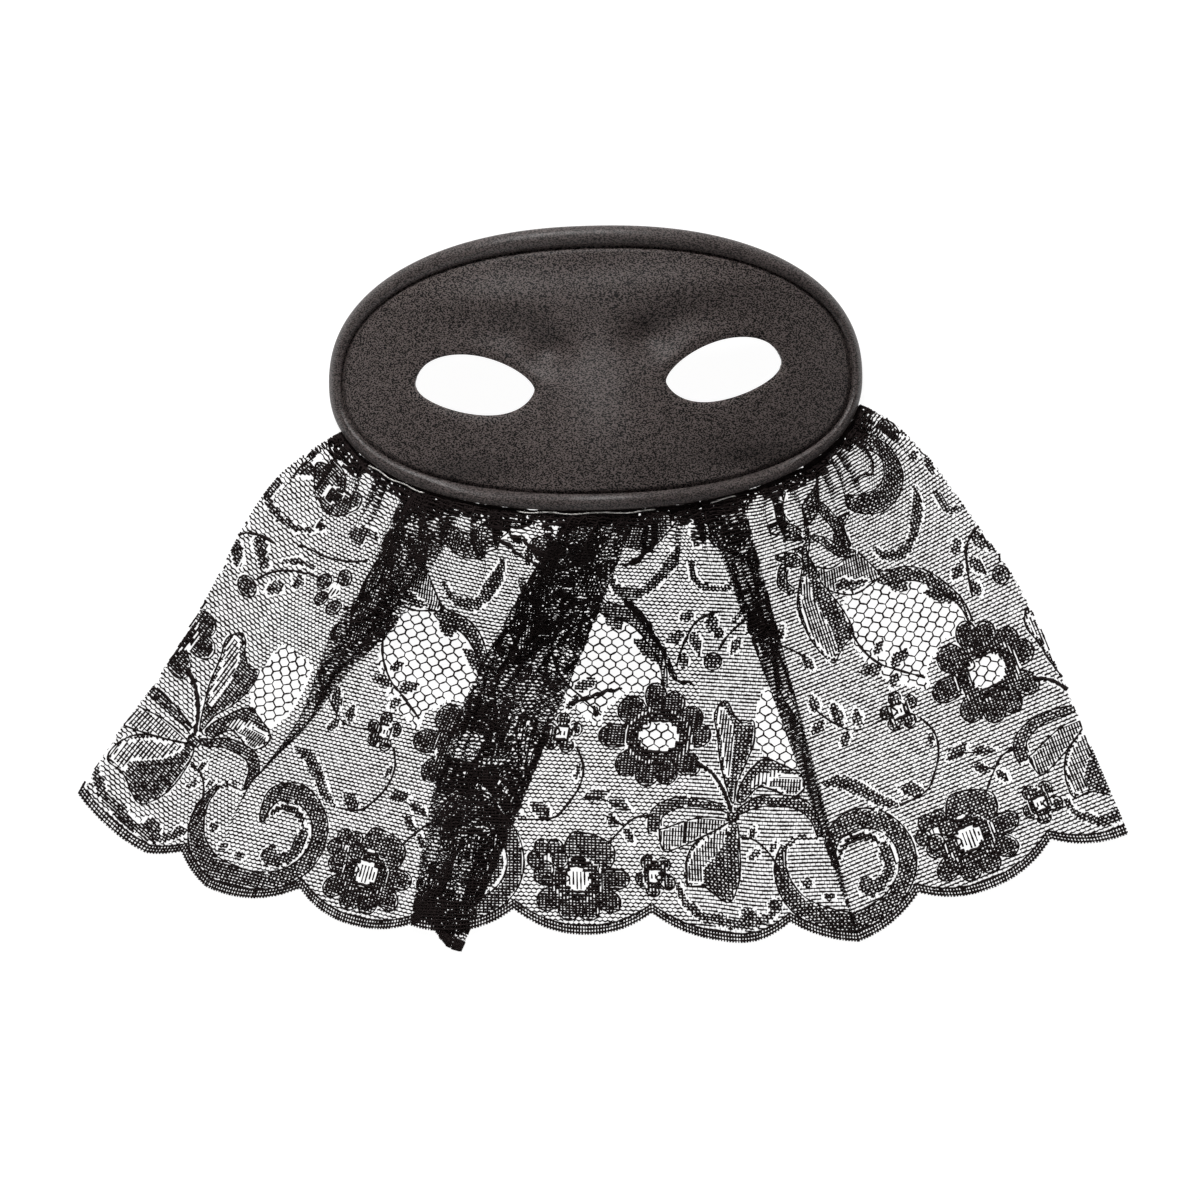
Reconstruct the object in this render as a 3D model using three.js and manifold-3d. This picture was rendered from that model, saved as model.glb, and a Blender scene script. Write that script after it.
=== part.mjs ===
import * as THREE from 'three';
import { mergeVertices } from 'three/addons/utils/BufferGeometryUtils.js';
import Module from 'manifold-3d';

// A dress-up eye mask with a gathered lace veil, lying face up. Millimetres, +Z up, +Y towards the forehead.
// The mask's outline is a superellipse; every height on it is worked out in the mask's own turned axes.
const maskCentre = [-1.75, 68.7];
const maskTurnDeg = 1.4;
const maskHalfWidth = 88;
const maskHalfTop = 50.4;
const maskHalfBottom = 43.1;
const outlinePower = 2.24;

const crownHeight = 34; // how far the brow stands above the temples
const crownPower = 2.4;
const domeDrop = 4; // how far the forehead and cheek edges roll back
const templeHeight = 3.1; // the shell's outer face above the table at the temples
const shellWall = 2.2;
const wallDropMost = 3.1;
const fitGap = 0.35; // room between the shell's edge and the folded tape, and between the lace and the tape

const noseTop = 19;
const noseRun = 48;
const noseRise = 10;
const noseHalfTop = 10;
const noseHalfBottom = 25;
const noseLean = [1.4, 5.5]; // the nose's middle line, from between the eyes to its tip

// Rounded bumps and hollows pressed into the shell: middle, spread and height.
const pressings = [
  { at: [-38, 27], spread: [24, 6.5], rise: 1.9 }, // left brow
  { at: [38, 30], spread: [24, 6.5], rise: 1.9 }, // right brow
  { at: [-14, 11.5], spread: [8, 8], rise: -4.2 }, // inner corner of the left eye
  { at: [16.5, 16], spread: [8, 8], rise: -4.2 }, // inner corner of the right eye
  { at: [-45, -29], spread: [18, 6], rise: -2.4 }, // left cheek
  { at: [48, -25], spread: [18, 6], rise: -2.4 }, // right cheek
  { at: [0, 36], spread: [14, 5], rise: -0.8 }, // middle of the forehead
];

// Eye openings: middle, half length, heights above and below the corners, turn, and which way is outwards.
const eyes = [
  { at: [-41.6, 66.2], half: 19.8, above: 10.4, below: 9.2, turnDeg: -2.9, outwards: -1 },
  { at: [40.5, 71.3], half: 19.5, above: 10.4, below: 9.2, turnDeg: 10.2, outwards: 1 },
];
const eyeSkewAbove = 3.4; // the top of the opening lies this far outwards of its middle
const eyeSkewBelow = -3.6;
const eyePoints = 32;

const bindingBand = 3.65; // visible width of the folded tape at the temples
const bindingBandMore = 2.3; // how much wider it shows over the forehead and under the nose
const bindingRoll = 2.1; // how far the padded tape stands above the shell
const bindingLeaf = 0.75; // thickness of the tape's turned-under side
const templePad = 3; // extra depth under the temples, where the mask stands on the table

const shellRings = [0, 0.16, 0.3, 0.43, 0.55, 0.66, 0.76, 0.85, 0.92, 1];
const shellSpokes = 60;
const bindingSteps = 64;

const veilLength = 156; // the lace's flat length from the gathering line to the scallops
const veilThick = 1;
const pleatThick = 1.1; // what a folded pleat adds
const scallopHeight = 7.5;
const scallopPower = 2.2;
const rimClear = 0.6; // the lace's top edge lies this far outside the tape
const rimDrop = 2.6; // and this far below the shell's face there
const settleShare = 0.42; // the share of its length over which the lace comes down to the table
const ruffleRise = 1.7;
const ruffleReach = 0.24;
const headingShare = 0.03; // the flat heading under the gathering thread
const rufflePeriod = 9;

// The lace's lie: each line leaves the rim at an angle, bends towards one point and ends at the hem.
const veilLines = [
  { name: 'leftEdge', rimDeg: 198, bend: [-107.6, 38.4], hem: [-173.6, -66.5] },
  { name: 'leftMiddle', rimDeg: 214, bend: [-98.5, 6.5], hem: [-144, -92.2] },
  { name: 'leftPleatStart', rimDeg: 227, bend: [-95.6, -30.3], hem: [-129.8, -100] },
  { name: 'leftPleatEnd', rimDeg: 243.5, bend: [-77.5, -30.8], hem: [-128.6, -100.4], pleat: true },
  { name: 'deepPleatStart', rimDeg: 265.5, bend: [-63.5, -52.8], hem: [-63, -117.6] },
  { name: 'deepPleatEnd', rimDeg: 277, bend: [-14.2, -41.8], hem: [-46.2, -120], pleat: true },
  { name: 'deepPleatBack', rimDeg: 279.5, bend: [-3, -38], hem: [-28.4, -113.4] },
  { name: 'middle', rimDeg: 283.5, bend: [23.4, -17], hem: [16.8, -113.6] },
  { name: 'rightMiddle', rimDeg: 287, bend: [49.5, -38], hem: [64.4, -118.3] },
  { name: 'rightPleatStart', rimDeg: 289.6, bend: [58.4, -38.8], hem: [85.6, -114.5] },
  { name: 'rightPleatEnd', rimDeg: 299.5, bend: [69.6, -57], hem: [86.8, -114.3], pleat: true },
  { name: 'rightEdge', rimDeg: 348.5, bend: [123.9, 34.3], hem: [174.6, -79.7] },
];
// Where two scallops meet, as places along the lines above: whole numbers are the lines themselves.
const cusps = [-0.2, 1, 3.4, 4, 6, 7, 8, 10.22, 10.74, 11.5];
const foldedCorner = { from: 4, peak: 5, back: 5.2, to: 6 }; // the under layer's corner shows below the hem
const stepsPerScallop = 8;
const veilRows = [0, 0.03, 0.085, 0.16, 0.25, 0.35, 0.46, 0.58, 0.7, 0.82, 0.92, 1];

const threadRadius = 0.45;
const threadClear = 2.4; // how far outside the tape the gathering thread runs
const threadSteps = 52;
const threadSides = 6;
const threadSpanDeg = [206, 344];

const radians = THREE.MathUtils.degToRad;
const lerp = THREE.MathUtils.lerp;
const smooth = THREE.MathUtils.smoothstep;
const maskTurn = radians(maskTurnDeg);

// A point given in the mask's own axes, in the drawing's axes.
function fromMask(u, v) {
  return [
    maskCentre[0] + u * Math.cos(maskTurn) - v * Math.sin(maskTurn),
    maskCentre[1] + u * Math.sin(maskTurn) + v * Math.cos(maskTurn),
  ];
}

function signedPower(value, power) {
  return Math.sign(value) * Math.abs(value) ** power;
}

// The mask's edge at an angle, moved inwards by inset. The answer is in the mask's own axes.
function edgeLocal(angle, inset = 0) {
  const halfHeight = Math.sin(angle) > 0 ? maskHalfTop : maskHalfBottom;
  const u = maskHalfWidth * signedPower(Math.cos(angle), 2 / outlinePower);
  const v = halfHeight * signedPower(Math.sin(angle), 2 / outlinePower);
  const slopeU = signedPower(u / maskHalfWidth, outlinePower - 1) / maskHalfWidth;
  const slopeV = signedPower(v / halfHeight, outlinePower - 1) / halfHeight;
  const size = Math.hypot(slopeU, slopeV);
  return [u - (inset * slopeU) / size, v - (inset * slopeV) / size];
}

// How high the shell's outer face stands at a point in the mask's own axes.
function shellFace(u, v) {
  const halfHeight = v > 0 ? maskHalfTop : maskHalfBottom;
  const reach = Math.min(Math.abs(u / maskHalfWidth), 1.03);
  let height = templeHeight + crownHeight * (1 - reach ** crownPower);
  height -= domeDrop * (v / halfHeight) ** 2;
  const along = THREE.MathUtils.clamp((noseTop - v) / noseRun, 0, 1.2);
  const noseHalf = lerp(noseHalfTop, noseHalfBottom, along);
  const across = Math.abs(u - lerp(noseLean[0], noseLean[1], along)) / noseHalf;
  height += noseRise * smooth(along, 0, 1) * Math.exp(-(across ** 2.6));
  for (const { at, spread, rise } of pressings) {
    height += rise * Math.exp(-(((u - at[0]) / spread[0]) ** 2) - ((v - at[1]) / spread[1]) ** 2);
  }
  return height;
}

// The wall's thickness measured straight down, more where the face is steep.
function wallDrop(u, v) {
  const step = 0.5;
  const slopeU = (shellFace(u + step, v) - shellFace(u - step, v)) / (2 * step);
  const slopeV = (shellFace(u, v + step) - shellFace(u, v - step)) / (2 * step);
  return Math.min(shellWall * Math.hypot(1, slopeU, slopeV), wallDropMost);
}

// A closed body from a list of points and faces, each face a triangle or a four-sided patch.
function solidFrom(points, faces) {
  const triangles = [];
  for (const [a, b, c, d] of faces) {
    triangles.push(a, b, c);
    if (d !== undefined) triangles.push(a, c, d);
  }
  const geometry = new THREE.BufferGeometry();
  geometry.setAttribute('position', new THREE.Float32BufferAttribute(points.flat(), 3));
  geometry.setIndex(triangles);
  geometry.computeVertexNormals();
  return geometry;
}

// A sheet with an upper and a lower face. Both are grids of [row][column] points of the same size.
function slab(upper, lower) {
  const rows = upper.length;
  const columns = upper[0].length;
  const points = [...upper.flat(), ...lower.flat()];
  const top = (r, c) => r * columns + c;
  const under = (r, c) => rows * columns + r * columns + c;
  const faces = [];
  for (let r = 0; r < rows - 1; r += 1) {
    for (let c = 0; c < columns - 1; c += 1) {
      faces.push([top(r, c), top(r + 1, c), top(r + 1, c + 1), top(r, c + 1)]);
      faces.push([under(r, c), under(r, c + 1), under(r + 1, c + 1), under(r + 1, c)]);
    }
  }
  for (let c = 0; c < columns - 1; c += 1) {
    faces.push([top(0, c), top(0, c + 1), under(0, c + 1), under(0, c)]);
    faces.push([top(rows - 1, c + 1), top(rows - 1, c), under(rows - 1, c), under(rows - 1, c + 1)]);
  }
  for (let r = 0; r < rows - 1; r += 1) {
    faces.push([top(r + 1, 0), top(r, 0), under(r, 0), under(r + 1, 0)]);
    faces.push([top(r, columns - 1), top(r + 1, columns - 1), under(r + 1, columns - 1), under(r, columns - 1)]);
  }
  return solidFrom(points, faces);
}

// The outline of an eye opening, round from its outer corner, in the drawing's axes.
function eyeOutline({ at, half, above, below, turnDeg, outwards }) {
  const turn = radians(turnDeg);
  const points = [];
  for (let i = 0; i < eyePoints; i += 1) {
    const angle = (2 * Math.PI * i) / eyePoints;
    const rise = Math.sin(angle);
    const blunt = Math.cos(angle) * outwards > 0 ? 1.12 : 1.3; // the inner corner is the sharper one
    const v = signedPower(rise, blunt) * (rise > 0 ? above : below);
    const skew = rise > 0 ? eyeSkewAbove : eyeSkewBelow;
    const u = half * Math.cos(angle) + outwards * skew * rise ** 2;
    points.push(new THREE.Vector2(
      at[0] + u * Math.cos(turn) - v * Math.sin(turn),
      at[1] + u * Math.sin(turn) + v * Math.cos(turn),
    ));
  }
  return points;
}

function shellGeometry() {
  const points = [];
  const faces = [];
  const rings = shellRings.length - 1;
  const addFace = (drop) => {
    const first = points.length;
    for (let ring = 1; ring <= rings; ring += 1) {
      for (let spoke = 0; spoke < shellSpokes; spoke += 1) {
        const angle = (2 * Math.PI * spoke) / shellSpokes;
        const [edgeU, edgeV] = edgeLocal(angle, 1.2);
        const u = edgeU * shellRings[ring];
        const v = edgeV * shellRings[ring];
        points.push([...fromMask(u, v), shellFace(u, v) - drop * wallDrop(u, v)]);
      }
    }
    points.push([...fromMask(0, 0), shellFace(0, 0) - drop * wallDrop(0, 0)]);
    const hub = points.length - 1;
    return (ring, spoke) => (ring === 0 ? hub : first + (ring - 1) * shellSpokes + (spoke % shellSpokes));
  };
  const outer = addFace(0);
  const inner = addFace(1);
  for (let spoke = 0; spoke < shellSpokes; spoke += 1) {
    faces.push([outer(0, 0), outer(1, spoke), outer(1, spoke + 1)]);
    faces.push([inner(0, 0), inner(1, spoke + 1), inner(1, spoke)]);
    for (let ring = 1; ring < rings; ring += 1) {
      faces.push([outer(ring, spoke), outer(ring + 1, spoke), outer(ring + 1, spoke + 1), outer(ring, spoke + 1)]);
      faces.push([inner(ring, spoke), inner(ring, spoke + 1), inner(ring + 1, spoke + 1), inner(ring + 1, spoke)]);
    }
    faces.push([outer(rings, spoke), inner(rings, spoke), inner(rings, spoke + 1), outer(rings, spoke + 1)]);
  }
  return solidFrom(points, faces);
}

// How wide the folded tape shows: widest over the forehead, narrowest at the temples.
function bandWidth(angle) {
  return bindingBand + bindingBandMore * Math.sin(angle) ** 2 + 0.65 * Math.sin(angle) - 0.35 * Math.cos(angle);
}

// The folded tape: a ring of channel section that takes in the shell's edge.
function bindingGeometry() {
  const points = [];
  const faces = [];
  let sides = 0;
  for (let step = 0; step < bindingSteps; step += 1) {
    const angle = (2 * Math.PI * step) / bindingSteps;
    const band = bandWidth(angle);
    const leaf = bindingLeaf + templePad * smooth(Math.abs(Math.cos(angle)), 0.86, 0.99);
    // Each corner: inset from the edge, height above the shell's outer face, and how much of the wall lies above it.
    const section = [
      [band, 0.35 + bindingLeaf * 0.8, 0],
      [band * 0.78, bindingRoll * 0.9, 0],
      [band * 0.5, bindingRoll, 0],
      [band * 0.2, bindingRoll * 0.75, 0],
      [0, 0, 0],
      [band * 0.12, -fitGap - leaf, 1],
      [band * 0.6, -fitGap - leaf, 1],
      [band, -fitGap - bindingLeaf, 1],
      [band, -fitGap, 1],
      [1.2 - fitGap, -fitGap, 1],
      [1.2 - fitGap, fitGap, 0],
      [band, fitGap, 0],
    ];
    sides = section.length;
    for (const [inset, rise, below] of section) {
      const [u, v] = edgeLocal(angle, inset);
      const height = shellFace(u, v) + rise - below * wallDrop(u, v);
      points.push([...fromMask(u, v), Math.max(height, 0)]);
    }
  }
  for (let step = 0; step < bindingSteps; step += 1) {
    const here = step * sides;
    const next = ((step + 1) % bindingSteps) * sides;
    for (let side = 0; side < sides; side += 1) {
      const after = (side + 1) % sides;
      faces.push([here + side, here + after, next + after, next + side]);
    }
  }
  return solidFrom(points, faces);
}

// The angle round the mask at which a place on the lace meets the rim.
function rimAngleAt(place) {
  const index = THREE.MathUtils.clamp(Math.floor(place), 0, veilLines.length - 2);
  return radians(lerp(veilLines[index].rimDeg, veilLines[index + 1].rimDeg, place - index));
}

// The lace's plan: place counts along the lines, share runs from the rim to the hem.
function veilPlan(place, share) {
  const index = THREE.MathUtils.clamp(Math.floor(place), 0, veilLines.length - 2);
  const near = veilLines[index];
  const far = veilLines[index + 1];
  const mix = place - index;
  const rim = new THREE.Vector2(...fromMask(...edgeLocal(rimAngleAt(place), -rimClear)));
  const bend = new THREE.Vector2(...near.bend).lerp(new THREE.Vector2(...far.bend), mix);
  const hem = new THREE.Vector2(...near.hem).lerp(new THREE.Vector2(...far.hem), mix);
  return new THREE.QuadraticBezierCurve(rim, bend, hem).getPointAt(share);
}

// How high the lace's underside stands: at the rim it hangs on the tape, further out it lies on the table.
function veilUnder(place, share) {
  const angle = rimAngleAt(place);
  const rimHeight = Math.max(shellFace(...edgeLocal(angle, -rimClear)) - rimDrop, 0);
  const fall = 1 - smooth(share / settleShare, 0, 1);
  return rimHeight * fall;
}

// The share of a line at which the hem lies: less where two scallops meet.
function hemShare(place) {
  const after = cusps.findIndex((cusp) => cusp >= place);
  const start = cusps[Math.max(after - 1, 0)];
  const end = cusps[Math.max(after, 1)];
  let lift = Math.abs((2 * (place - start)) / (end - start) - 1) ** scallopPower;
  if (place > foldedCorner.from && place <= foldedCorner.peak) {
    lift = 1 - (place - foldedCorner.from) / (foldedCorner.peak - foldedCorner.from);
  } else if (place > foldedCorner.peak && place < foldedCorner.to) {
    lift = smooth(place, foldedCorner.peak, foldedCorner.back);
  }
  return 1 - (scallopHeight * lift) / veilLength;
}

function veilPlaces() {
  const places = new Set([0, veilLines.length - 1, foldedCorner.peak, foldedCorner.back]);
  veilLines.forEach((line, index) => places.add(index));
  for (let i = 0; i < cusps.length - 1; i += 1) {
    for (let step = 0; step < stepsPerScallop; step += 1) {
      const place = lerp(cusps[i], cusps[i + 1], step / stepsPerScallop);
      if (place > 0.02 && place < veilLines.length - 1.02) places.add(place);
    }
  }
  const sorted = [...places].sort((a, b) => a - b);
  return sorted.filter((place, i) => i === 0 || place - sorted[i - 1] > 0.02 || Number.isInteger(place));
}

function veilGeometry() {
  const places = veilPlaces();
  const upper = [];
  const lower = [];
  for (const row of veilRows) {
    const topRow = [];
    const underRow = [];
    places.forEach((place, column) => {
      const share = row * hemShare(place);
      const at = veilPlan(place, share);
      const under = veilUnder(place, share);
      const nextLine = veilLines[Math.min(Math.ceil(place), veilLines.length - 1)];
      const lineAfter = veilLines[Math.min(place + 1, veilLines.length - 1)];
      const folded = nextLine.pleat || (Number.isInteger(place) && lineAfter.pleat);
      const freed = smooth(share, headingShare, 2 * headingShare);
      const wave = (1 - Math.cos((2 * Math.PI * column) / rufflePeriod)) / 2;
      const ruffle = ruffleRise * wave * freed * (1 - smooth(share, 2 * headingShare, ruffleReach));
      topRow.push([at.x, at.y, under + veilThick + (folded ? pleatThick * freed : 0) + ruffle]);
      underRow.push([at.x, at.y, under]);
    });
    upper.push(topRow);
    lower.push(underRow);
  }
  return slab(upper, lower);
}

// The thread that draws the lace's heading together, lying on the lace just outside the tape.
function threadGeometry() {
  const route = [];
  for (let i = 0; i <= threadSteps; i += 1) {
    const angle = radians(lerp(threadSpanDeg[0], threadSpanDeg[1], i / threadSteps));
    const [x, y] = fromMask(...edgeLocal(angle, -threadClear));
    const rim = Math.max(shellFace(...edgeLocal(angle, -rimClear)) - rimDrop, 0);
    route.push(new THREE.Vector3(x, y, rim + veilThick + 1.5 * fitGap + threadRadius));
  }
  const section = new THREE.Shape();
  for (let i = 0; i < threadSides; i += 1) {
    const angle = (2 * Math.PI * i) / threadSides;
    const corner = [threadRadius * Math.cos(angle), threadRadius * Math.sin(angle)];
    if (i === 0) section.moveTo(...corner);
    else section.lineTo(...corner);
  }
  const path = new THREE.CatmullRomCurve3(route);
  return new THREE.ExtrudeGeometry(section, { steps: threadSteps, extrudePath: path });
}

// Closed bodies in the form the boolean cuts need, and back.
function bodyOf(wasm, geometry) {
  const plain = geometry.clone();
  plain.deleteAttribute('normal');
  plain.deleteAttribute('uv');
  const merged = mergeVertices(plain, 1e-4);
  return new wasm.Manifold(new wasm.Mesh({
    numProp: 3,
    vertProperties: Float32Array.from(merged.attributes.position.array),
    triVerts: Uint32Array.from(merged.index.array),
  }));
}

function geometryOf(body) {
  const { vertProperties, triVerts } = body.getMesh();
  const geometry = new THREE.BufferGeometry();
  geometry.setAttribute('position', new THREE.Float32BufferAttribute(vertProperties, 3));
  geometry.setIndex(new THREE.Uint32BufferAttribute(triVerts, 1));
  geometry.computeVertexNormals();
  return geometry;
}

const wasm = await Module();
wasm.setup();

let shell = bodyOf(wasm, shellGeometry());
for (const eye of eyes) {
  const outline = new THREE.Shape(eyeOutline(eye));
  const opening = new THREE.ExtrudeGeometry(outline, { depth: 80, bevelEnabled: false, steps: 1 });
  shell = shell.subtract(bodyOf(wasm, opening.translate(0, 0, -10)));
}

const satin = new THREE.MeshStandardMaterial({ color: 0x463d3a, roughness: 0.62, metalness: 0 });
const tape = new THREE.MeshStandardMaterial({ color: 0x3d3432, roughness: 0.55, metalness: 0 });
const lace = new THREE.MeshStandardMaterial({ color: 0x1c1918, roughness: 0.85, metalness: 0 });
const cotton = new THREE.MeshStandardMaterial({ color: 0xd8d4ce, roughness: 0.8, metalness: 0 });

const pieces = [
  ['mask_shell', geometryOf(shell), satin],
  ['edge_binding', bindingGeometry(), tape],
  ['lace_veil', veilGeometry(), lace],
  ['gathering_thread', threadGeometry(), cotton],
];

const veiledMask = new THREE.Group();
for (const [name, geometry, material] of pieces) {
  const mesh = new THREE.Mesh(geometry, material);
  mesh.name = name;
  veiledMask.add(mesh);
}

// The origin is the middle of the object's box, on the table.
const box = new THREE.Box3().setFromObject(veiledMask);
veiledMask.position.set(-(box.min.x + box.max.x) / 2, -(box.min.y + box.max.y) / 2, -box.min.z);

export default veiledMask;
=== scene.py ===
import math
import bpy
import numpy as np
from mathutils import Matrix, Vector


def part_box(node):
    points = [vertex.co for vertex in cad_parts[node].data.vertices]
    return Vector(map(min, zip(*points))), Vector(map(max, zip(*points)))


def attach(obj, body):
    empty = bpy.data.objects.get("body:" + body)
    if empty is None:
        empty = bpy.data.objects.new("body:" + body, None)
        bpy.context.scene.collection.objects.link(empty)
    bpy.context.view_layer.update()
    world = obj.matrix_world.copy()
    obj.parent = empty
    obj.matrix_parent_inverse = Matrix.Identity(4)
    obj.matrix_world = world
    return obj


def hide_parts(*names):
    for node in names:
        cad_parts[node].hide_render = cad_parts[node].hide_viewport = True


# A veiled eye mask. Satin, edge tape and stitching take the place of the CAD nodes of the mask, and
# the lace is laid out thread by thread over the folds of the CAD veil.

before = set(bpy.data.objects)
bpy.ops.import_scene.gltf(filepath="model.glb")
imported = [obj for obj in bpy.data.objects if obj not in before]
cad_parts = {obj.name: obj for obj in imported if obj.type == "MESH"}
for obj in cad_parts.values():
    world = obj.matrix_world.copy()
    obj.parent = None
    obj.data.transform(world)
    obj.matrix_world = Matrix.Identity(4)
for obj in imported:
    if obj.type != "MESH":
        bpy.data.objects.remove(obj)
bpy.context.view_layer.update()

mm = 0.001

# The mask's measures, in millimetres, in the drawing's own axes: +Y towards the forehead.
mask = {
    "centre": (-1.75, 68.7),
    "turnDeg": 1.4,
    "halfWidth": 88.0,
    "halfTop": 50.4,
    "halfBottom": 43.1,
    "power": 2.24,  # the outline is a superellipse
    "crown": 34.0,
    "crownPower": 2.4,
    "dome": 4.0,
    "temple": 3.1,  # height of the outer face where the mask rests on the table
    "templeReach": 1.03,  # the face goes on falling as far as this share of the half width
    "wall": 2.2,
    "wallMost": 3.1,  # measured straight down, where the face is steep
    "nose": {"top": 19, "run": 48, "runMost": 1.2, "rise": 10, "halfTop": 10, "halfBottom": 25,
             "lean": (1.4, 5.5), "power": 2.6},
    "pressings": [  # middle, spread and height of each bump and hollow
        ((-38, 27), (24, 6.5), 1.9),
        ((38, 30), (24, 6.5), 1.9),
        ((-15.5, 9.5), (8.5, 6), -4.8),
        ((17.5, 13), (8.5, 6), -4.8),
        ((-27, 16), (11, 5.5), -1.6),
        ((30, 19), (11, 5.5), -1.6),
        ((-42, -33), (17, 5.5), -3.1),
        ((52, -29.5), (17, 5.5), -3.1),
        ((0, 36), (14, 5), -0.8),
    ],
}
eyes = [
    {"at": (-41.6, 66.2), "half": 19.8, "above": 10.4, "below": 9.2, "turnDeg": -2.9, "out": -1},
    {"at": (40.5, 71.3), "half": 19.5, "above": 10.4, "below": 9.2, "turnDeg": 10.2, "out": 1},
]
eyeSkew = (3.4, -3.6)  # how far the upper and the lower lid lean outwards
eyeBlunt = (1.12, 1.3)  # the outer corner is rounder than the inner one


def smooth(x, low=0.0, high=1.0):
    t = np.clip((np.asarray(x, float) - low) / (high - low), 0, 1)
    return t * t * (3 - 2 * t)


def blend(a, b, share):
    return a + (b - a) * share


def signedPower(x, power):
    return np.sign(x) * np.abs(x) ** power


def unit(vectors):
    return vectors / np.maximum(np.linalg.norm(vectors, axis=-1, keepdims=True), 1e-6)


def lengthsAlong(points):
    # how far along a line each of its points lies
    return np.concatenate([[0], np.cumsum(np.hypot(*np.diff(points, axis=0).T))])


def roundAngles(count):
    return np.linspace(0, 2 * math.pi, count, endpoint=False)


def fromMask(u, v):
    # the mask's own axes to the drawing's, and back
    turn = math.radians(mask["turnDeg"])
    x = mask["centre"][0] + u * math.cos(turn) - v * math.sin(turn)
    y = mask["centre"][1] + u * math.sin(turn) + v * math.cos(turn)
    return x, y


def toMask(x, y):
    turn = math.radians(mask["turnDeg"])
    dx = x - mask["centre"][0]
    dy = y - mask["centre"][1]
    return dx * math.cos(turn) + dy * math.sin(turn), dy * math.cos(turn) - dx * math.sin(turn)


def edgeLocal(angle, inset=0.0):
    # The mask's edge at an angle, moved inwards, in the mask's own axes.
    power = mask["power"]
    halfHeight = np.where(np.sin(angle) > 0, mask["halfTop"], mask["halfBottom"])
    u = mask["halfWidth"] * signedPower(np.cos(angle), 2 / power)
    v = halfHeight * signedPower(np.sin(angle), 2 / power)
    slopeU = signedPower(u / mask["halfWidth"], power - 1) / mask["halfWidth"]
    slopeV = signedPower(v / halfHeight, power - 1) / halfHeight
    size = np.hypot(slopeU, slopeV)
    return u - inset * slopeU / size, v - inset * slopeV / size


def shellFace(u, v):
    # Height of the mask's outer face above the table.
    halfHeight = np.where(v > 0, mask["halfTop"], mask["halfBottom"])
    reach = np.minimum(np.abs(u / mask["halfWidth"]), mask["templeReach"])
    height = mask["temple"] + mask["crown"] * (1 - reach ** mask["crownPower"])
    height = height - mask["dome"] * (v / halfHeight) ** 2
    nose = mask["nose"]
    along = np.clip((nose["top"] - v) / nose["run"], 0, nose["runMost"])
    noseHalf = blend(nose["halfTop"], nose["halfBottom"], along)
    across = np.abs(u - blend(*nose["lean"], along)) / noseHalf
    height = height + nose["rise"] * smooth(along) * np.exp(-(across ** nose["power"]))
    for at, spread, rise in mask["pressings"]:
        height = height + rise * np.exp(-((u - at[0]) / spread[0]) ** 2 - ((v - at[1]) / spread[1]) ** 2)
    return height


def wallDrop(u, v):
    # the wall's thickness, measured straight down
    step = 0.5
    slopeU = (shellFace(u + step, v) - shellFace(u - step, v)) / (2 * step)
    slopeV = (shellFace(u, v + step) - shellFace(u, v - step)) / (2 * step)
    return np.minimum(mask["wall"] * np.sqrt(1 + slopeU**2 + slopeV**2), mask["wallMost"])


# The drawing is shifted so that the whole mask's box is centred: the edge tape's box says by how much.
tapeLow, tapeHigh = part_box("edge_binding")
ringAngles = np.radians(np.arange(0, 360, 0.25))
ringX, ringY = fromMask(*edgeLocal(ringAngles))
shiftX = (tapeLow[0] + tapeHigh[0]) / 2 / mm - (ringX.min() + ringX.max()) / 2
shiftY = (tapeLow[1] + tapeHigh[1]) / 2 / mm - (ringY.min() + ringY.max()) / 2
print("drawing shift", round(shiftX, 3), round(shiftY, 3))


def toRow(x, y, z):
    # Drawing millimetres to the frame's metres.
    return np.stack([(x + shiftX) * mm, (y + shiftY) * mm, z * mm + np.zeros_like(x)], axis=-1)


def deselectAll():
    if bpy.context.object and bpy.context.object.mode != "OBJECT":
        bpy.ops.object.mode_set(mode="OBJECT")
    bpy.ops.object.select_all(action="DESELECT")


def setPoints(obj, points):
    obj.data.vertices.foreach_set("co", np.asarray(points, np.float32).ravel())
    obj.data.update()


def getPoints(obj):
    points = np.empty(len(obj.data.vertices) * 3, np.float32)
    obj.data.vertices.foreach_get("co", points)
    return points.reshape(-1, 3).astype(float)


def chooseOnly(obj):
    deselectAll()
    obj.select_set(True)
    bpy.context.view_layer.objects.active = obj


def editMode(selectBy):
    bpy.ops.object.mode_set(mode="EDIT")
    bpy.ops.mesh.select_mode(type=selectBy)


def objectMode():
    bpy.ops.object.mode_set(mode="OBJECT")


def applyModifier(obj, kind, **values):
    chooseOnly(obj)
    modifier = obj.modifiers.new(kind.title(), kind)
    for key, value in values.items():
        setattr(modifier, key, value)
    bpy.ops.object.modifier_apply(modifier=modifier.name)


# Camera

# The photograph shows next to no perspective, so the camera stands far off with a long lens.
view = {"frameCentre": (-0.33, -3.8), "frameWidth": 396.0, "height": 6.0, "sensor": 36.0, "clipEnd": 20}


def makeCamera():
    data = bpy.data.cameras.new("photoCamera")
    camera = bpy.data.objects.new("photoCamera", data)
    bpy.context.scene.collection.objects.link(camera)
    x, y = view["frameCentre"]
    camera.location = ((x + shiftX) * mm, (y + shiftY) * mm, view["height"])
    data.sensor_width = view["sensor"]
    data.lens = view["sensor"] * view["height"] / (view["frameWidth"] * mm)
    data.clip_end = view["clipEnd"]
    bpy.context.scene.camera = camera


makeCamera()
print("camera placed")

# Lace: how it lies

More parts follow.
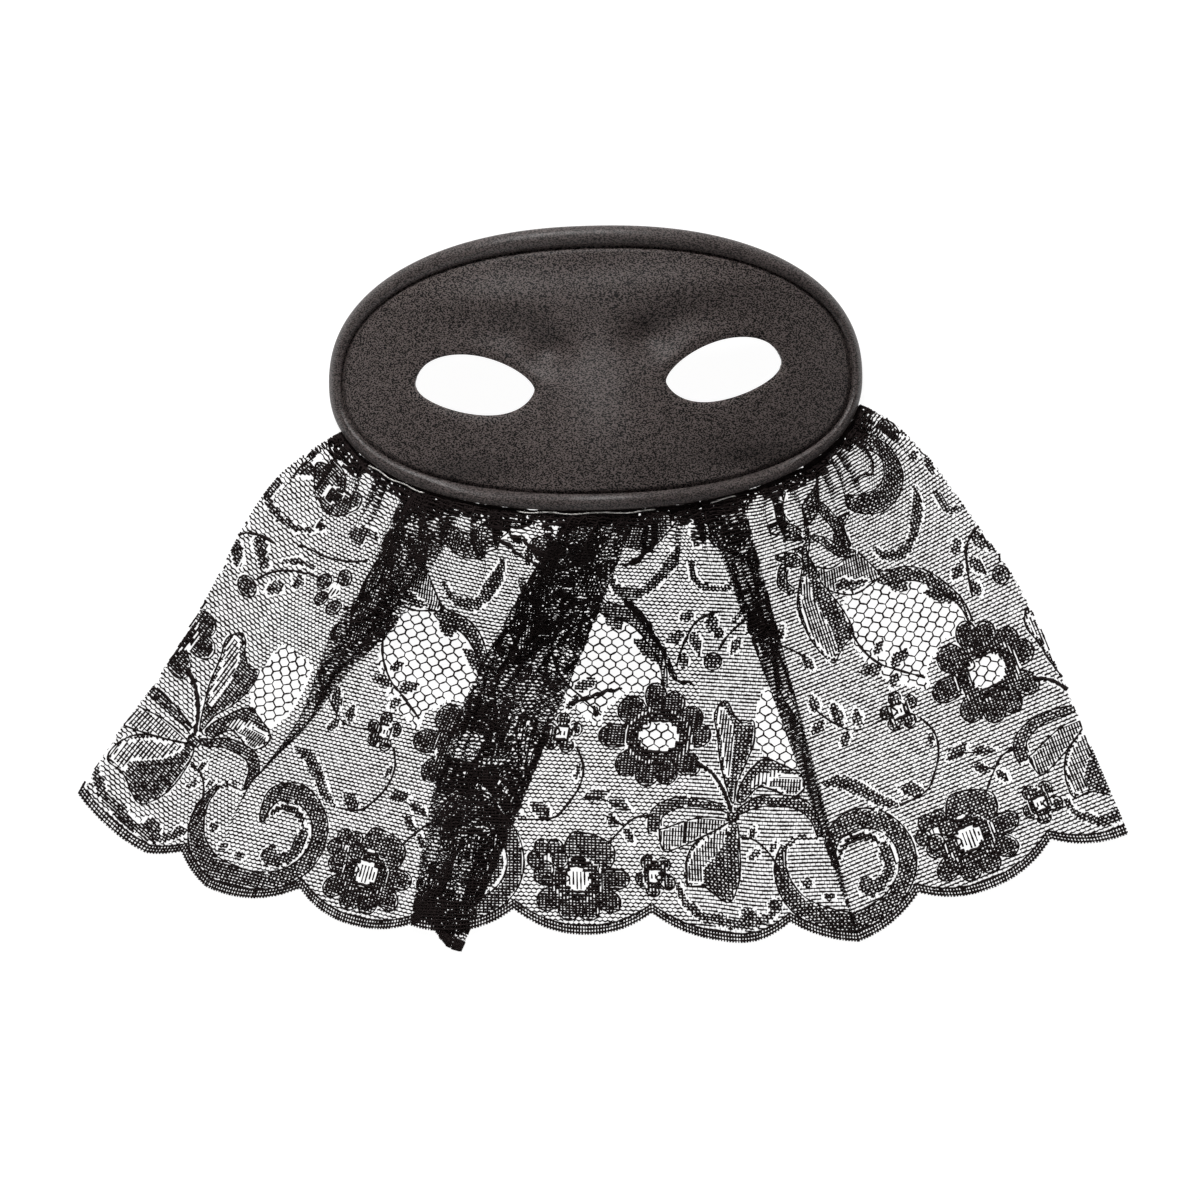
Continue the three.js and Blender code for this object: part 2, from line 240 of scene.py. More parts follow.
drape = {
    "rimClear": 0.1,  # the lace hangs from this far outside the mask's edge
    "rimDrop": 2.6,  # and this far below its face
    "settleShare": 0.42,  # share of its length over which it comes down to the table
    "layerStep": 0.55,  # height from one folded layer to the next
    "gatherWave": 9.5,  # flat length of one gather under the tape
    "gatherLeast": 2.8,  # flat length over gathered length, at least, at the tape
    "gatherRise": 2.3,
    "gatherTilt": 0.3,  # how far a fold slips up or down against the next
    "gatherStart": 5,  # the gathers open out from this far below the tape
    "gatherReach": 28,  # and are flat this far down, more or less as the next line says
    "reachWaves": ((8, 37, 1), (6, 13.1, 2)),  # size, length and phase
    "turnWaves": ((0.34, 31, 0), (0.2, 12.7, 2)),  # the same, for the places of the gathers
    "slant": (0.15, 5, 9),  # and how they wander further down
    "pleatWave": 7.0,
    "pleatLeast": 1.9,
    "pleatRise": 0.7,
    "pleatStarts": (4, 40),  # the folds inside a pleat deepen between these depths
    "pleatCalms": (0.8, 60, 120),  # and lose this share between these
    "bandCalm": (0.35, 6),  # gathers above a pleat: what is left of them, and where they recover
    "lineEase": 3,  # gathers die out this close to a fold line
    "rimEase": 0.02,  # and have their full height from this share of the way down
    "rimFollow": 3,  # how soon the lace stops following the mask's round edge
    "turnShift": 3.1,  # the gathers of each turned layer lie this far beside the last one's
    "usualHeight": 150,
    "overlap": (0.5, 9),  # the top layer starts to come down this far beside the pleat, and takes this long
    "bandFull": 3,  # a pleat wider than this has its layers at full height
    "clearOfTable": 0.32,
    "headingDepth": 5.4,  # the lace's top is turned under twice, this deep on average
    "headingUneven": ((1.6, 6.1), (1.2, 2.3)),  # size and length of its broad and of its fine waves
    "headingDrift": (1.3, 9),  # and how the fine ones wander
    "headingDrop": 0.5,
    "hemSag": 2.4,  # the hem hangs this much lower beside the right pleat
    "hemSagAt": 54.0,
    "hemSagWidth": 15.0,
    "hemSagFrom": 0.55,  # share of the way down at which the sag begins
}
veilLines = {  # angle on the rim, and the points that the line runs through, down to the hem
    "leftEdge": (
        198, (-96, 45.5), (-107.6, 35.8), (-117.8, 21), (-130.7, -3.8), (-146.8, -30.2), (-161.4, -50),
        (-172.8, -69.5),
    ),
    "leftMiddle": (212.5, (-91, 17), (-112, -21), (-134, -60), (-151, -88.6)),
    "leftPleatStart": (
        227, (-78.5, 1.2), (-89.8, -15.7), (-99, -41.4), (-111.9, -59.9), (-117.5, -67.5), (-131, -98.8),
    ),
    "leftPleatEnd": (
        243.5, (-54.5, 8.4), (-67.3, -11.7), (-83, -28), (-97.5, -46), (-111.7, -60.1), (-117.3, -67.6),
        (-130.8, -98.9),
    ),
    "deepPleatStart": (265.5, (-37.1, -20.3), (-54.7, -63.6), (-63, -115.5)),
    "deepPleatEnd": (277, (-3.9, -15.6), (-21.4, -59.1), (-46.2, -120)),
    "deepPleatFront": (265.5, (-37.1, -20.3), (-54.7, -63.6), (-63, -112.5)),
    "rightPleatStart": (289.6, (48.1, -12.6), (64, -56.5), (85.0, -116.2)),
    "rightPleatEnd": (299.5, (59.6, -18.7), (72, -64.5), (85.2, -116.1)),
    "rightEdge": (
        348.5, (95.4, 55.6), (108.9, 42.4), (123.4, 22.6), (137, 2.8), (149.8, -23.6), (161, -50),
        (174, -80.6),
    ),
}
levels = (-10, 0, 30, 75, 110, 150, 175)  # heights on the flat lace, above the scallops' lowest points
# For each fold, from left to right: its line, the flat height at which it meets the rim,
# and how far along the flat lace it lies at each of those heights.
folds = [
    ("leftEdge", 150, (0, 0, -2, -5, -5, -5, -5)),
    ("leftMiddle", 148.5, (24, 23.5, 21, 16, 15, 21, 23)),
    ("leftPleatStart", 147, (47.6, 47.6, 46, 40, 37, 48, 52)),
    ("leftPleatEnd", 145, (47.7, 47.7, 46.2, 52, 54, 60, 64)),
    ("leftPleatStart", 143, (47.8, 47.8, 46.4, 63, 71, 72, 76)),
    ("deepPleatStart", 150, (122, 122, 119, 117, 123, 158, 168)),
    ("deepPleatEnd", 145, (141, 141, 143, 156, 166, 183, 188)),
    ("deepPleatFront", 139, (182, 182, 186, 194.5, 210, 208, 208)),
    ("rightPleatStart", 144, (329, 329, 320.5, 300, 283, 279, 279)),
    ("rightPleatEnd", 146, (329.2, 329.2, 325, 313, 304, 294, 292)),
    ("rightPleatStart", 151, (329.5, 329.5, 328.6, 327, 326, 309, 305)),
    ("rightEdge", 162, (421.6, 421.6, 421.6, 419.5, 413, 411, 409)),
]
underLayers = (2, 5, 8)  # the stretch that starts at each of these folds lies lowest in a pleat
middleLayers = (3, 6, 9)
topLayers = {4: 2, 7: 5, 10: 8}  # and the under layer that each of these covers


def rimPoint(angle):
    return fromMask(*edgeLocal(angle, -drape["rimClear"]))


def spline(points, closed=False, step=1.0):
    # a smooth line through the points, with a point about every step
    p = np.asarray(points, float)
    n = len(p)
    out = []
    for i in range(n if closed else n - 1):
        if closed:
            a, b, c, d = p[i - 1], p[i], p[(i + 1) % n], p[(i + 2) % n]
        else:
            a, b, c, d = p[max(i - 1, 0)], p[i], p[i + 1], p[min(i + 2, n - 1)]
        count = max(int(math.ceil(np.hypot(*(c - b)) / step)), 1)
        t = (np.arange(count) / count)[:, None]
        squared = (2 * a - 5 * b + 4 * c - d) * t**2
        cubed = (3 * b - a - 3 * c + d) * t**3
        out.append(0.5 * (2 * b + (c - a) * t + squared + cubed))
    out.append(p[:1] if closed else p[-1:])
    return np.concatenate(out)


pastHem = {"length": 9, "share": 1.05}  # each line goes on a little below the hem


def lineTable(name, count=200):
    # Points spaced evenly along one of the lace's lines, from the rim to just past the hem.
    rimDeg, *through = veilLines[name]
    points = spline([rimPoint(math.radians(rimDeg)), *through])
    onward = points[-1] - points[-4]
    points = np.concatenate([points, [points[-1] + pastHem["length"] * onward / np.hypot(*onward)]])
    lengths = lengthsAlong(points)
    shares = np.linspace(0, pastHem["share"], count)
    x = np.interp(shares * lengths[-2], lengths, points[:, 0])
    y = np.interp(shares * lengths[-2], lengths, points[:, 1])
    return shares, x, y


lineTables = {name: lineTable(name) for name in veilLines}


def onLine(name, share):
    # the point that lies this share of the way down one of the lines
    shares, x, y = lineTables[name]
    return np.interp(share, shares, x), np.interp(share, shares, y)


def betweenEdges(s, v):
    # which points of the flat lace lie between its cut side edges
    return (s >= np.interp(v, levels, folds[0][2])) & (s <= np.interp(v, levels, folds[-1][2]))


def rimLine(s):
    # height on the flat lace at which it is gathered
    stops = [fold[2][5] for fold in folds]
    heights = [fold[1] for fold in folds]
    return np.interp(s, stops, heights)


def headingDepth(s):
    # how far down each turn of the lace's top reaches
    (broad, broadLength), (fine, fineLength) = drape["headingUneven"]
    drift, driftLength = drape["headingDrift"]
    ripple = fine * np.sin(s / fineLength + drift * np.sin(s / driftLength))
    return drape["headingDepth"] + broad * np.sin(s / broadLength) + ripple


def layLace(s, v):
    # Where each point of the flat lace lies, in drawing millimetres: s is measured along the lace,
    # v up from its hem.
    s = np.asarray(s, float)
    v = np.asarray(v, float)
    rim = rimLine(s)
    turned = np.maximum(v - rim, 0) / headingDepth(s)
    v = np.where(turned > 0, rim - headingDepth(s) * (1 - np.abs(1 - turned)), v)
    turn = np.ceil(np.minimum(turned, 2))
    places = np.stack([np.interp(v, levels, fold[2]) for fold in folds])
    stretch = np.clip((s[None, :] >= places).sum(0) - 1, 0, len(folds) - 2)
    x, y, z = np.zeros_like(s), np.zeros_like(s), np.zeros_like(s)
    for i in range(len(folds) - 1):
        here = stretch == i
        if here.any():
            x[here], y[here], z[here] = layStretch(i, s[here], v[here], turn[here], places[i:i + 2, here])
    return x, y, z


def layStretch(i, s, v, turn, places):
    # the same for the stretch between two neighbouring folds
    (near, nearHeight, _), (far, farHeight, _) = folds[i], folds[i + 1]
    flatWidth = np.maximum(places[1] - places[0], 1e-6)
    mix = np.clip((s - places[0]) / flatWidth, -0.02, 1.02)
    ends = smooth(mix * flatWidth / drape["lineEase"]) * smooth((1 - mix) * flatWidth / drape["lineEase"])
    share = np.clip(1 - v / blend(nearHeight, farHeight, mix), 0, pastHem["share"])
    nearX, nearY = onLine(near, share)
    farX, farY = onLine(far, share)
    plan = np.hypot(nearX - farX, nearY - farY)
    fullness = flatWidth / np.maximum(plan, 1)
    shift, rise, drift = gatherAt(i, s + drape["turnShift"] * turn, share, fullness)
    share = np.clip(share - drift / nearHeight, 0, pastHem["share"])
    if i in topLayers:
        left, recover = drape["bandCalm"]
        calm = left + (1 - left) * smooth(mix * plan - pleatWidth(topLayers[i], share), 0, recover)
        shift, rise = shift * calm, rise * calm
    mix = mix + shift * ends / flatWidth
    nearX, nearY = onLine(near, share)
    farX, farY = onLine(far, share)
    nearDeg, farDeg = veilLines[near][0], veilLines[far][0]
    angle = np.radians(blend(nearDeg, farDeg, mix))
    rimX, rimY = rimPoint(angle)
    nearRim = rimPoint(np.radians(nearDeg))
    farRim = rimPoint(np.radians(farDeg))
    fade = (1 - np.clip(share, 0, 1)) ** drape["rimFollow"]
    x = blend(nearX, farX, mix) + fade * (rimX - blend(nearRim[0], farRim[0], mix))
    y = blend(nearY, farY, mix) + fade * (rimY - blend(nearRim[1], farRim[1], mix))
    edgeHeight = np.maximum(shellFace(*edgeLocal(angle, -drape["rimClear"])) - drape["rimDrop"], 0)
    z = edgeHeight * (1 - smooth(share / drape["settleShare"]))
    z += layerLift(i, mix, np.hypot(farX - nearX, farY - nearY), share)
    z += rise * smooth(share, 0.0, drape["rimEase"])
    z += drape["clearOfTable"] - drape["headingDrop"] * turn
    sag = np.exp(-((x - drape["hemSagAt"]) / drape["hemSagWidth"]) ** 2)
    y -= drape["hemSag"] * sag * smooth(share, drape["hemSagFrom"], 1.0)
    return x, y, z


def pleatWidth(start, share):
    # Width of the folded band that begins at one of the pleats' lines.
    first = lineTables[folds[start][0]]
    second = lineTables[folds[start + 1][0]]
    across = np.hypot(first[1] - second[1], first[2] - second[2])
    return np.interp(share, first[0], across)


def layerLift(i, mix, planWidth, share):
    # how far the layers of a pleat lift each other off the table
    step = drape["layerStep"]
    if i in middleLayers:
        return 2 * step * mix * np.clip(planWidth / drape["bandFull"], 0, 1)
    if i in topLayers:
        band = pleatWidth(topLayers[i], share)
        after, length = drape["overlap"]
        beside = (mix * planWidth - band - after) / length
        return 2 * step * np.clip(band / drape["bandFull"], 0, 1) * (1 - smooth(beside))
    return np.zeros_like(mix)


def waves(s, terms):
    return sum(size * np.sin(2 * math.pi * s / length + phase) for size, length, phase in terms)


def gatherAt(i, s, share, ratio):
    # Sideways shift on the flat lace, rise and slip of the small folds that take up its fullness.
    depth = share * drape["usualHeight"]
    if i in underLayers or i in middleLayers:
        wave, least, most = drape["pleatWave"], drape["pleatLeast"], drape["pleatRise"]
        lost, *between = drape["pleatCalms"]
        amount = smooth(depth, *drape["pleatStarts"]) * (1 - lost * smooth(depth, *between))
    else:
        wave, least, most = drape["gatherWave"], drape["gatherLeast"], drape["gatherRise"]
        reach = drape["gatherReach"] + waves(s, drape["reachWaves"])
        amount = 1 - smooth(depth, drape["gatherStart"], reach)
    size, downward, along = drape["slant"]
    turns = s / wave + waves(s, drape["turnWaves"]) + size * np.sin(depth / downward + s / along)
    full = np.maximum(ratio, least)
    onward = (1 + 1 / full) / 2  # share of a fold in which the lace runs on, and not back
    at = np.mod(turns, 1)
    swing = np.where(at < onward, 2 * at / onward - 1, 1 - 2 * (at - onward) / (1 - onward))
    swing = np.sin(swing * math.pi / 2)
    reachOfFold = (1 - 1 / full) * onward * wave / 2 * ratio
    drift = amount * drape["gatherTilt"] * np.sin(2 * math.pi * at)
    return amount * reachOfFold * swing, amount * most * (1 - swing) / 2, drift


# Lace: its pattern, in millimetres on the flat lace. u runs along one repeat, v up from the scallops.

lace = {
    "start": -5.0,
    "length": 426.6,
    "height": 192.0,
    "repeat": 136.5,
    "repeats": 4,  # the lace shows parts of this many
    "scallop": 45.5,
    "scallopHeight": 7.5,
    "scallopPower": 2.2,
    "firstRepeat": -57.0,  # where along the lace a repeat begins
    "hemWidth": 2.6,
    "hemOverlap": 0.6,  # the threads of the net end this far inside the hem
    "cell": 0.25,  # fineness of the pattern's map
}
ground, hexNet, leafWork, petalWork, denseWork, striped, bare = range(7)


def leftOf(directions):
    return np.stack([-directions[:, 1], directions[:, 0]], 1)


def bandShape(points, widths):
    # The outline of a ribbon that follows a line and changes its width along it.
    line = spline(points, step=1.2)
    along = np.linspace(0, 1, len(line))
    half = np.interp(along, np.linspace(0, 1, len(widths)), widths) / 2
    out = half[:, None] * leftOf(unit(np.gradient(line, axis=0)))
    return np.concatenate([line + out, (line - out)[::-1]])


leafForm = (0.85, 0.8)  # powers: below 1, a leaf is widest nearer its base, and fuller
petalForm = (0.72, 0.28)  # share of a petal's half width, and what its outer end has more


def leafShape(base, tip, width):
    # A pointed leaf from base to tip.
    base, tip = np.asarray(base, float), np.asarray(tip, float)
    t = np.linspace(0, 1, 9)
    forward, full = leafForm
    half = width / 2 * np.sin(math.pi * t**forward) ** full
    axis = tip - base
    normal = np.array([-axis[1], axis[0]]) / np.hypot(*axis)
    middle = base + axis * t[:, None]
    out = normal * half[:, None]
    return np.concatenate([middle + out, (middle - out)[-2:0:-1]])


def petalShape(centre, angleDeg, inner, outer, half):
    # A round-ended petal.
    angle = math.radians(angleDeg)
    t = roundAngles(16)
    length = (outer - inner) / 2
    along = inner + length + length * np.cos(t)
    even, more = petalForm
    across = half * np.sin(t) * (even + more * np.cos(t))
    x = centre[0] + along * math.cos(angle) - across * math.sin(angle)
    y = centre[1] + along * math.sin(angle) + across * math.cos(angle)
    return np.stack([x, y], 1)


def circleShape(centre, radiusX, radiusY=None):
    t = roundAngles(16)
    return np.stack([centre[0] + radiusX * np.cos(t), centre[1] + (radiusY or radiusX) * np.sin(t)], 1)


shapes = []  # kind, outline, and whether a heavier cord runs round it
stems = []  # line and thickness
halo = 0.35  # how far inside its outline a motif's cord is looked up
stemPainted = 1.3  # stems thicker than this are worked like petals under their cord
stemParts = 12  # and are drawn from about this many points


def addShape(kind, points, corded=True, rounded=True):
    outline = spline(points, closed=True) if rounded else np.asarray(points, float)
    shapes.append((kind, outline, corded))


def inwards(outline):
    # Unit directions into a closed outline.
    x, y = outline.T
    area = np.sum(x * np.roll(y, -1) - np.roll(x, -1) * y)
    return leftOf(unit(np.roll(outline, -1, axis=0) - np.roll(outline, 1, axis=0))) * np.sign(area)


def addBand(points, widths, kind=leafWork, corded=True):
    addShape(kind, bandShape(points, widths), corded=corded, rounded=False)


def addLeaves(leaves, corded=False):
    for base, tip, width in leaves:
        addShape(leafWork, leafShape(base, tip, width), corded=corded)


def addFlower(centre, petals, heart, heartKind=bare, inner=2.0, ringReach=0.55):
    # petals: angle in degrees, reach and half width of each
    for angleDeg, reach, half in petals:
        addShape(petalWork, petalShape(centre, angleDeg, inner, reach, half))
    ring = np.mean([reach for _, reach, _ in petals]) * ringReach
    addShape(denseWork, circleShape(centre, ring, ring * heart[1] / heart[0]), corded=False)
    addShape(heartKind, circleShape(centre, *heart), corded=False)


def addStem(points, width=0.8):
    stems.append((spline(points, step=1.1), width))


def drawOpenNets():
    addShape(hexNet, [
        (5.6, 102.7), (8.1, 105.7), (14.6, 108.3), (20.2, 107.7), (23.6, 104.3), (29.2, 102),
        (35.9, 100), (41.5, 93.6), (44.6, 85.3), (44.6, 79.5), (38.2, 79), (33.7, 79), (29.2, 75.5),
        (25.8, 72.5), (24.7, 67), (19.1, 70), (14, 73), (10.1, 78), (6.5, 85), (5.2, 94),
    ], corded=False)
    # beside the spray
    addShape(hexNet, [
        (79, 82), (77, 73), (77.5, 64.5), (82, 60), (90, 56), (93, 58), (94.8, 65), (95, 72), (94, 80),
        (86, 82),
    ], corded=False)


def drawClusterFlower():
    centre = (21.3, 17.2)
    addShape(leafWork, [
        (16.5, 24), (19, 31.5), (24, 32), (29.5, 30.5), (33.5, 27.5), (33, 22.5), (29, 19.5),
        (22, 20.5),
    ])
    petals = [
        (2, 17.2, 4.3), (-33, 16.2, 4.4), (-70, 13.6, 4.5), (-108, 13.6, 4.5), (-146, 15.8, 4.4),
        (176, 14.5, 3.8),
    ]
    addFlower(centre, petals, (3.9, 3.3), inner=2.6)
    for lobe in [(7.3, 23), (9.6, 27), (14, 27), (15.6, 23.2), (10.8, 20)]:
        addShape(leafWork, circleShape(lobe, 2.6))
    addShape(bare, circleShape((11.4, 23.4), 1.2), corded=False)


def drawSmallFlowers():
    petals = [(50, 7, 2.9), (118, 6.8, 2.9), (198, 6.4, 2.9), (262, 6.8, 2.9), (335, 7.2, 2.9)]
    addFlower((46.8, 19.2), petals, (1.5, 1.9), inner=0.8)
    petals = [(95, 6.6, 2.7), (20, 6.6, 2.8), (-62, 6.6, 2.8), (-135, 6.4, 2.7), (165, 6.6, 2.7)]
    addFlower((13, 63.6), petals, (1.9, 1.9), inner=1.0)


def drawGreatFlower():
    centre = (45.2, 64.4)
    petals = [
        (101, 18, 4.6), (72, 15.6, 4.6), (34, 16, 4.9), (5, 17.3, 5.1), (-38, 18.2, 4.8),
        (-71, 16.3, 4.6), (-100, 16.6, 5.0), (-134, 17.2, 5.2), (182, 20, 4.9), (141, 17.8, 5.8),
    ]
    addFlower(centre, petals, (6.2, 5.0), heartKind=hexNet, inner=4.6, ringReach=0.64)


def drawSpray():
    # the leaf that stands up, and its open half
    addShape(leafWork, [
        (65.1, 77.3), (62.9, 72.7), (64.7, 66.1), (66.3, 58.3), (69, 50.6), (72.2, 44), (72.9, 50.8),
        (75.3, 57.7), (77.1, 64.6), (76.2, 71.3), (72.8, 70.5), (69.3, 73.1), (67.4, 76.6),
    ])
    addShape(striped,
             [(65.1, 75.5), (64.4, 71.5), (66.2, 65.5), (67.8, 58.3), (70, 52), (70.4, 61), (69, 70)],
             corded=False)
    # the leaf to the right
    addShape(leafWork, [
        (73.2, 45.7), (75.6, 53.2), (80.9, 58.9), (87.2, 57.3), (94.1, 54.1), (95.2, 49.9),
        (91.2, 46.9), (84.9, 49.1), (79.8, 49.5), (75.6, 44.8),
    ])
    addShape(striped,
             [(82.5, 50.4), (86, 53.4), (93.6, 53.4), (94.5, 49.9), (91.2, 47.6), (85.5, 49.8)],
             corded=False)
    addShape(bare, [(77.4, 50.4), (80, 53.6), (85, 55), (88, 54.6), (83, 52.2), (80, 50.6)],
             corded=False)
    # the curls on both sides
    addBand([(73.6, 41), (79.5, 44.6), (86.2, 45.8), (94.1, 44.8), (99.5, 40.6), (102.2, 34.6)],
            (1.5, 3.2, 3.6, 3.6, 3.4, 2.2))
    addBand([(47.4, 32.8), (46.8, 37.4), (49.3, 41), (57, 43.6), (68.3, 42.4), (72, 40.6)],
            (4.6, 4.2, 3.6, 2.8, 2.2, 1.2))
    # the open leaf to the left
    addShape(striped, [
        (50.9, 34.7), (48.6, 33.5), (50.1, 27.4), (54.6, 28.3), (62.3, 32.1), (71.4, 38.1), (64.1, 39),
        (57.5, 37.4),
    ])
    # the broad leaf that hangs down
    addShape(leafWork, [
        (73.2, 38.3), (66.6, 34.6), (60.1, 29.7), (57.2, 22.8), (57.6, 16.6), (63.2, 16.4),
        (70.8, 12.4), (74.4, 18.2), (75.6, 25.1), (75.2, 32.9),
    ])
    addShape(striped, [
        (71.5, 36.4), (66.4, 33.4), (61, 28.9), (58.2, 22.8), (58.6, 17.6), (62.6, 17.3), (62.9, 21.8),
        (68.4, 28),
    ], corded=False)
    addShape(leafWork, circleShape((72.6, 40.2), 1.9))
    # stems and the small leaves on them
    addStem([(58.8, 56.4), (63, 54.4), (66.5, 51), (69.6, 46.4), (71.8, 41.4)], 1.7)
    addStem([(75.6, 33.6), (80.2, 33), (84.9, 29.6), (88.2, 24.4), (89.4, 20)], 1.0)
    addLeaves([
        ((79.2, 32.8), (80.3, 38), 3.0), ((82.8, 30.6), (78.2, 26.4), 3.2), ((85.8, 29), (88, 33.6), 3.0),
    ])
    # the lobed band along the hem
    addBand([(54.6, 17.6), (56.6, 11.2), (63.5, 6.6), (75.2, 6), (84, 9.2), (88.8, 14.2)],
            (2.0, 3.0, 3.8, 3.8, 3.4, 2.0), corded=False)
    for blob, size in (((77.7, 9.6), 2.9), ((86.6, 12.8), 2.7), ((68.5, 7.2), 2.2), ((59.6, 9.6), 1.8)):
        addShape(leafWork, circleShape(blob, size, size * 0.85), corded=False)


def drawScroll():
    # from the outer end round to the curled tip
    rim = [
        (90.2, 31.4), (88.8, 24.7), (90.4, 18.1), (94.4, 12.4), (101, 8.4), (109.4, 6.2), (119, 6),
        (128, 8.4), (134.6, 14), (137.2, 21), (135.8, 28.4), (131, 34.2), (124, 36.8), (117, 35.2),
        (113.6, 30.4), (114.2, 25),
    ]
    addBand(rim, (1.6, 4.2, 5.6, 6.4, 6.6, 6.6, 6.0, 5.8, 5.6, 5.6, 5.6, 5.8, 6.2, 6.2, 4.4, 1.6))
    addBand([(90.4, 30.6), (94.8, 33.6), (101.6, 33.4)], (2.2, 2.0, 1.0), corded=False)
    # the thick inner curl
    addShape(leafWork, [
        (131.6, 27.4), (133.4, 21), (131, 15.4), (126, 12.2), (121, 11), (124.4, 16), (128.4, 19),
        (128.2, 23.4),
    ], corded=False)
    addShape(leafWork, circleShape((121.6, 15.4), 3.3, 2.9), corded=False)
    addBand([(115.4, 26.6), (117.6, 29.6), (121, 31.2), (126, 30.6), (130, 26.8)],
            (1.2, 2.4, 3.0, 3.0, 1.6), kind=denseWork, corded=False)
    for blob in ((104.4, 14.4), (111.6, 12.8), (97.4, 19.4)):
        addShape(leafWork, circleShape(blob, 2.3, 1.6), corded=False)


def drawTrails():
    addBand([(-20.2, 52.2), (-12.4, 49.6), (-6.7, 44.3), (-2.2, 39.3), (3.8, 35.4)],
            (1.2, 4.4, 4.8, 4.2, 1.4), corded=False)
    addStem([(18.6, 59.4), (21.6, 53.2), (21, 46.6), (17.2, 40.4), (13, 36.4), (3.8, 35.4)], 1.1)
    addLeaves([
        ((12.6, 36.6), (4.4, 41.2), 5.0), ((20.9, 54), (19, 48.4), 2.6),
        ((22.5, 43.2), (31.4, 45.4), 4.6), ((31, 42.6), (39.6, 40), 3.8),
        ((30.8, 38.4), (35.6, 33.6), 3.6), ((37, 34.6), (40.2, 28.4), 3.2),
        ((-1.4, 63.6), (-0.6, 70.6), 4.0), ((-6.9, 65.6), (-7.6, 75.8), 4.4),
        ((-11.4, 70.8), (-17.6, 67), 4.0), ((-13.4, 73), (-13.4, 80.2), 4.0),
        ((-4.6, 64.4), (-9.6, 59.6), 3.6), ((12.6, 79), (3.6, 80.4), 4.6),
        ((14.4, 78.2), (22.6, 82.2), 4.4), ((10.4, 83.4), (15.4, 88.2), 3.4),
        ((16.6, 76), (12.2, 71), 3.4),
    ])
    addStem([(7.2, 63.6), (1.5, 62.9), (-4.6, 64.2), (-10, 69.4), (-15.2, 77.2)], 0.8)
    addStem([(22.5, 43.2), (27.5, 43.4), (32.6, 41.8), (38.2, 40)], 0.8)
    addStem([(29.4, 38.2), (33, 36.6), (36.8, 34.6)], 0.8)
    addStem([(31.4, 28.6), (35.9, 33.7), (40.4, 37.6), (46, 38.6)], 1.0)
    addStem([(5.2, 96), (7.2, 87.4), (11.2, 80.8), (16.8, 76.3), (24.7, 70.4)], 1.1)


def drawUpperScroll():
    # the large curl under the mask's edge
    addBand([
        (17, 137.8), (20.6, 133.8), (28, 131.4), (35.6, 132.6), (41.4, 137), (43.6, 143), (41, 149.5),
        (37.5, 155),
    ], (3, 6.6, 8, 8.2, 7.8, 6.6, 5.4, 3))
    addStem([(22.4, 140.6), (27, 142), (32, 140.6), (35, 145), (34.6, 150)], 1.2)
    addShape(leafWork, [
        (14.5, 131.8), (10, 131.5), (7.2, 127), (8, 122.5), (11.5, 118.5), (13, 123), (12.2, 128.5),
    ])
    # the wavy band below it
    addBand([
        (21.5, 117.5), (25, 113.2), (31, 111.6), (35.5, 113.8), (39.5, 118), (43, 122.5), (46.5, 129.5),
    ], (2, 3.6, 4.6, 3.4, 4.6, 4.8, 2), corded=False)
    addShape(leafWork, circleShape((54, 149), 3.9, 4.2))
    addLeaves([
        ((56.5, 147), (59.8, 142.6), 2.4), ((59, 136), (56, 128), 4.4), ((57.5, 107), (60, 99.5), 5.0),
        ((52.5, 100.5), (56, 92), 4.4), ((50, 93), (51.5, 87), 4.4), ((53, 106.6), (47, 104), 4.2),
        ((50.3, 99.5), (43.5, 95.5), 4.4), ((22.5, 105), (29, 99), 4.6), ((33, 97), (43.5, 88.5), 4.0),
    ])
    # the hanging spray and the curved leaf over the open net
    addStem([(61.5, 107.5), (57.5, 106.5), (53, 103), (50.7, 97.5), (49.5, 93.5), (48.5, 88.5)], 1.3)
    addBand([
        (14.6, 117.8), (18.2, 110.8), (22.5, 106.4), (29.2, 105), (35.2, 101.4), (40.4, 94.8), (44, 88),
        (45.4, 80.6),
    ], (1.6, 3, 4.4, 4.6, 4, 3, 2, 1.2))
    addShape(leafWork, [(23.6, 104.4), (27.6, 100.6), (31, 103.6)], corded=False)


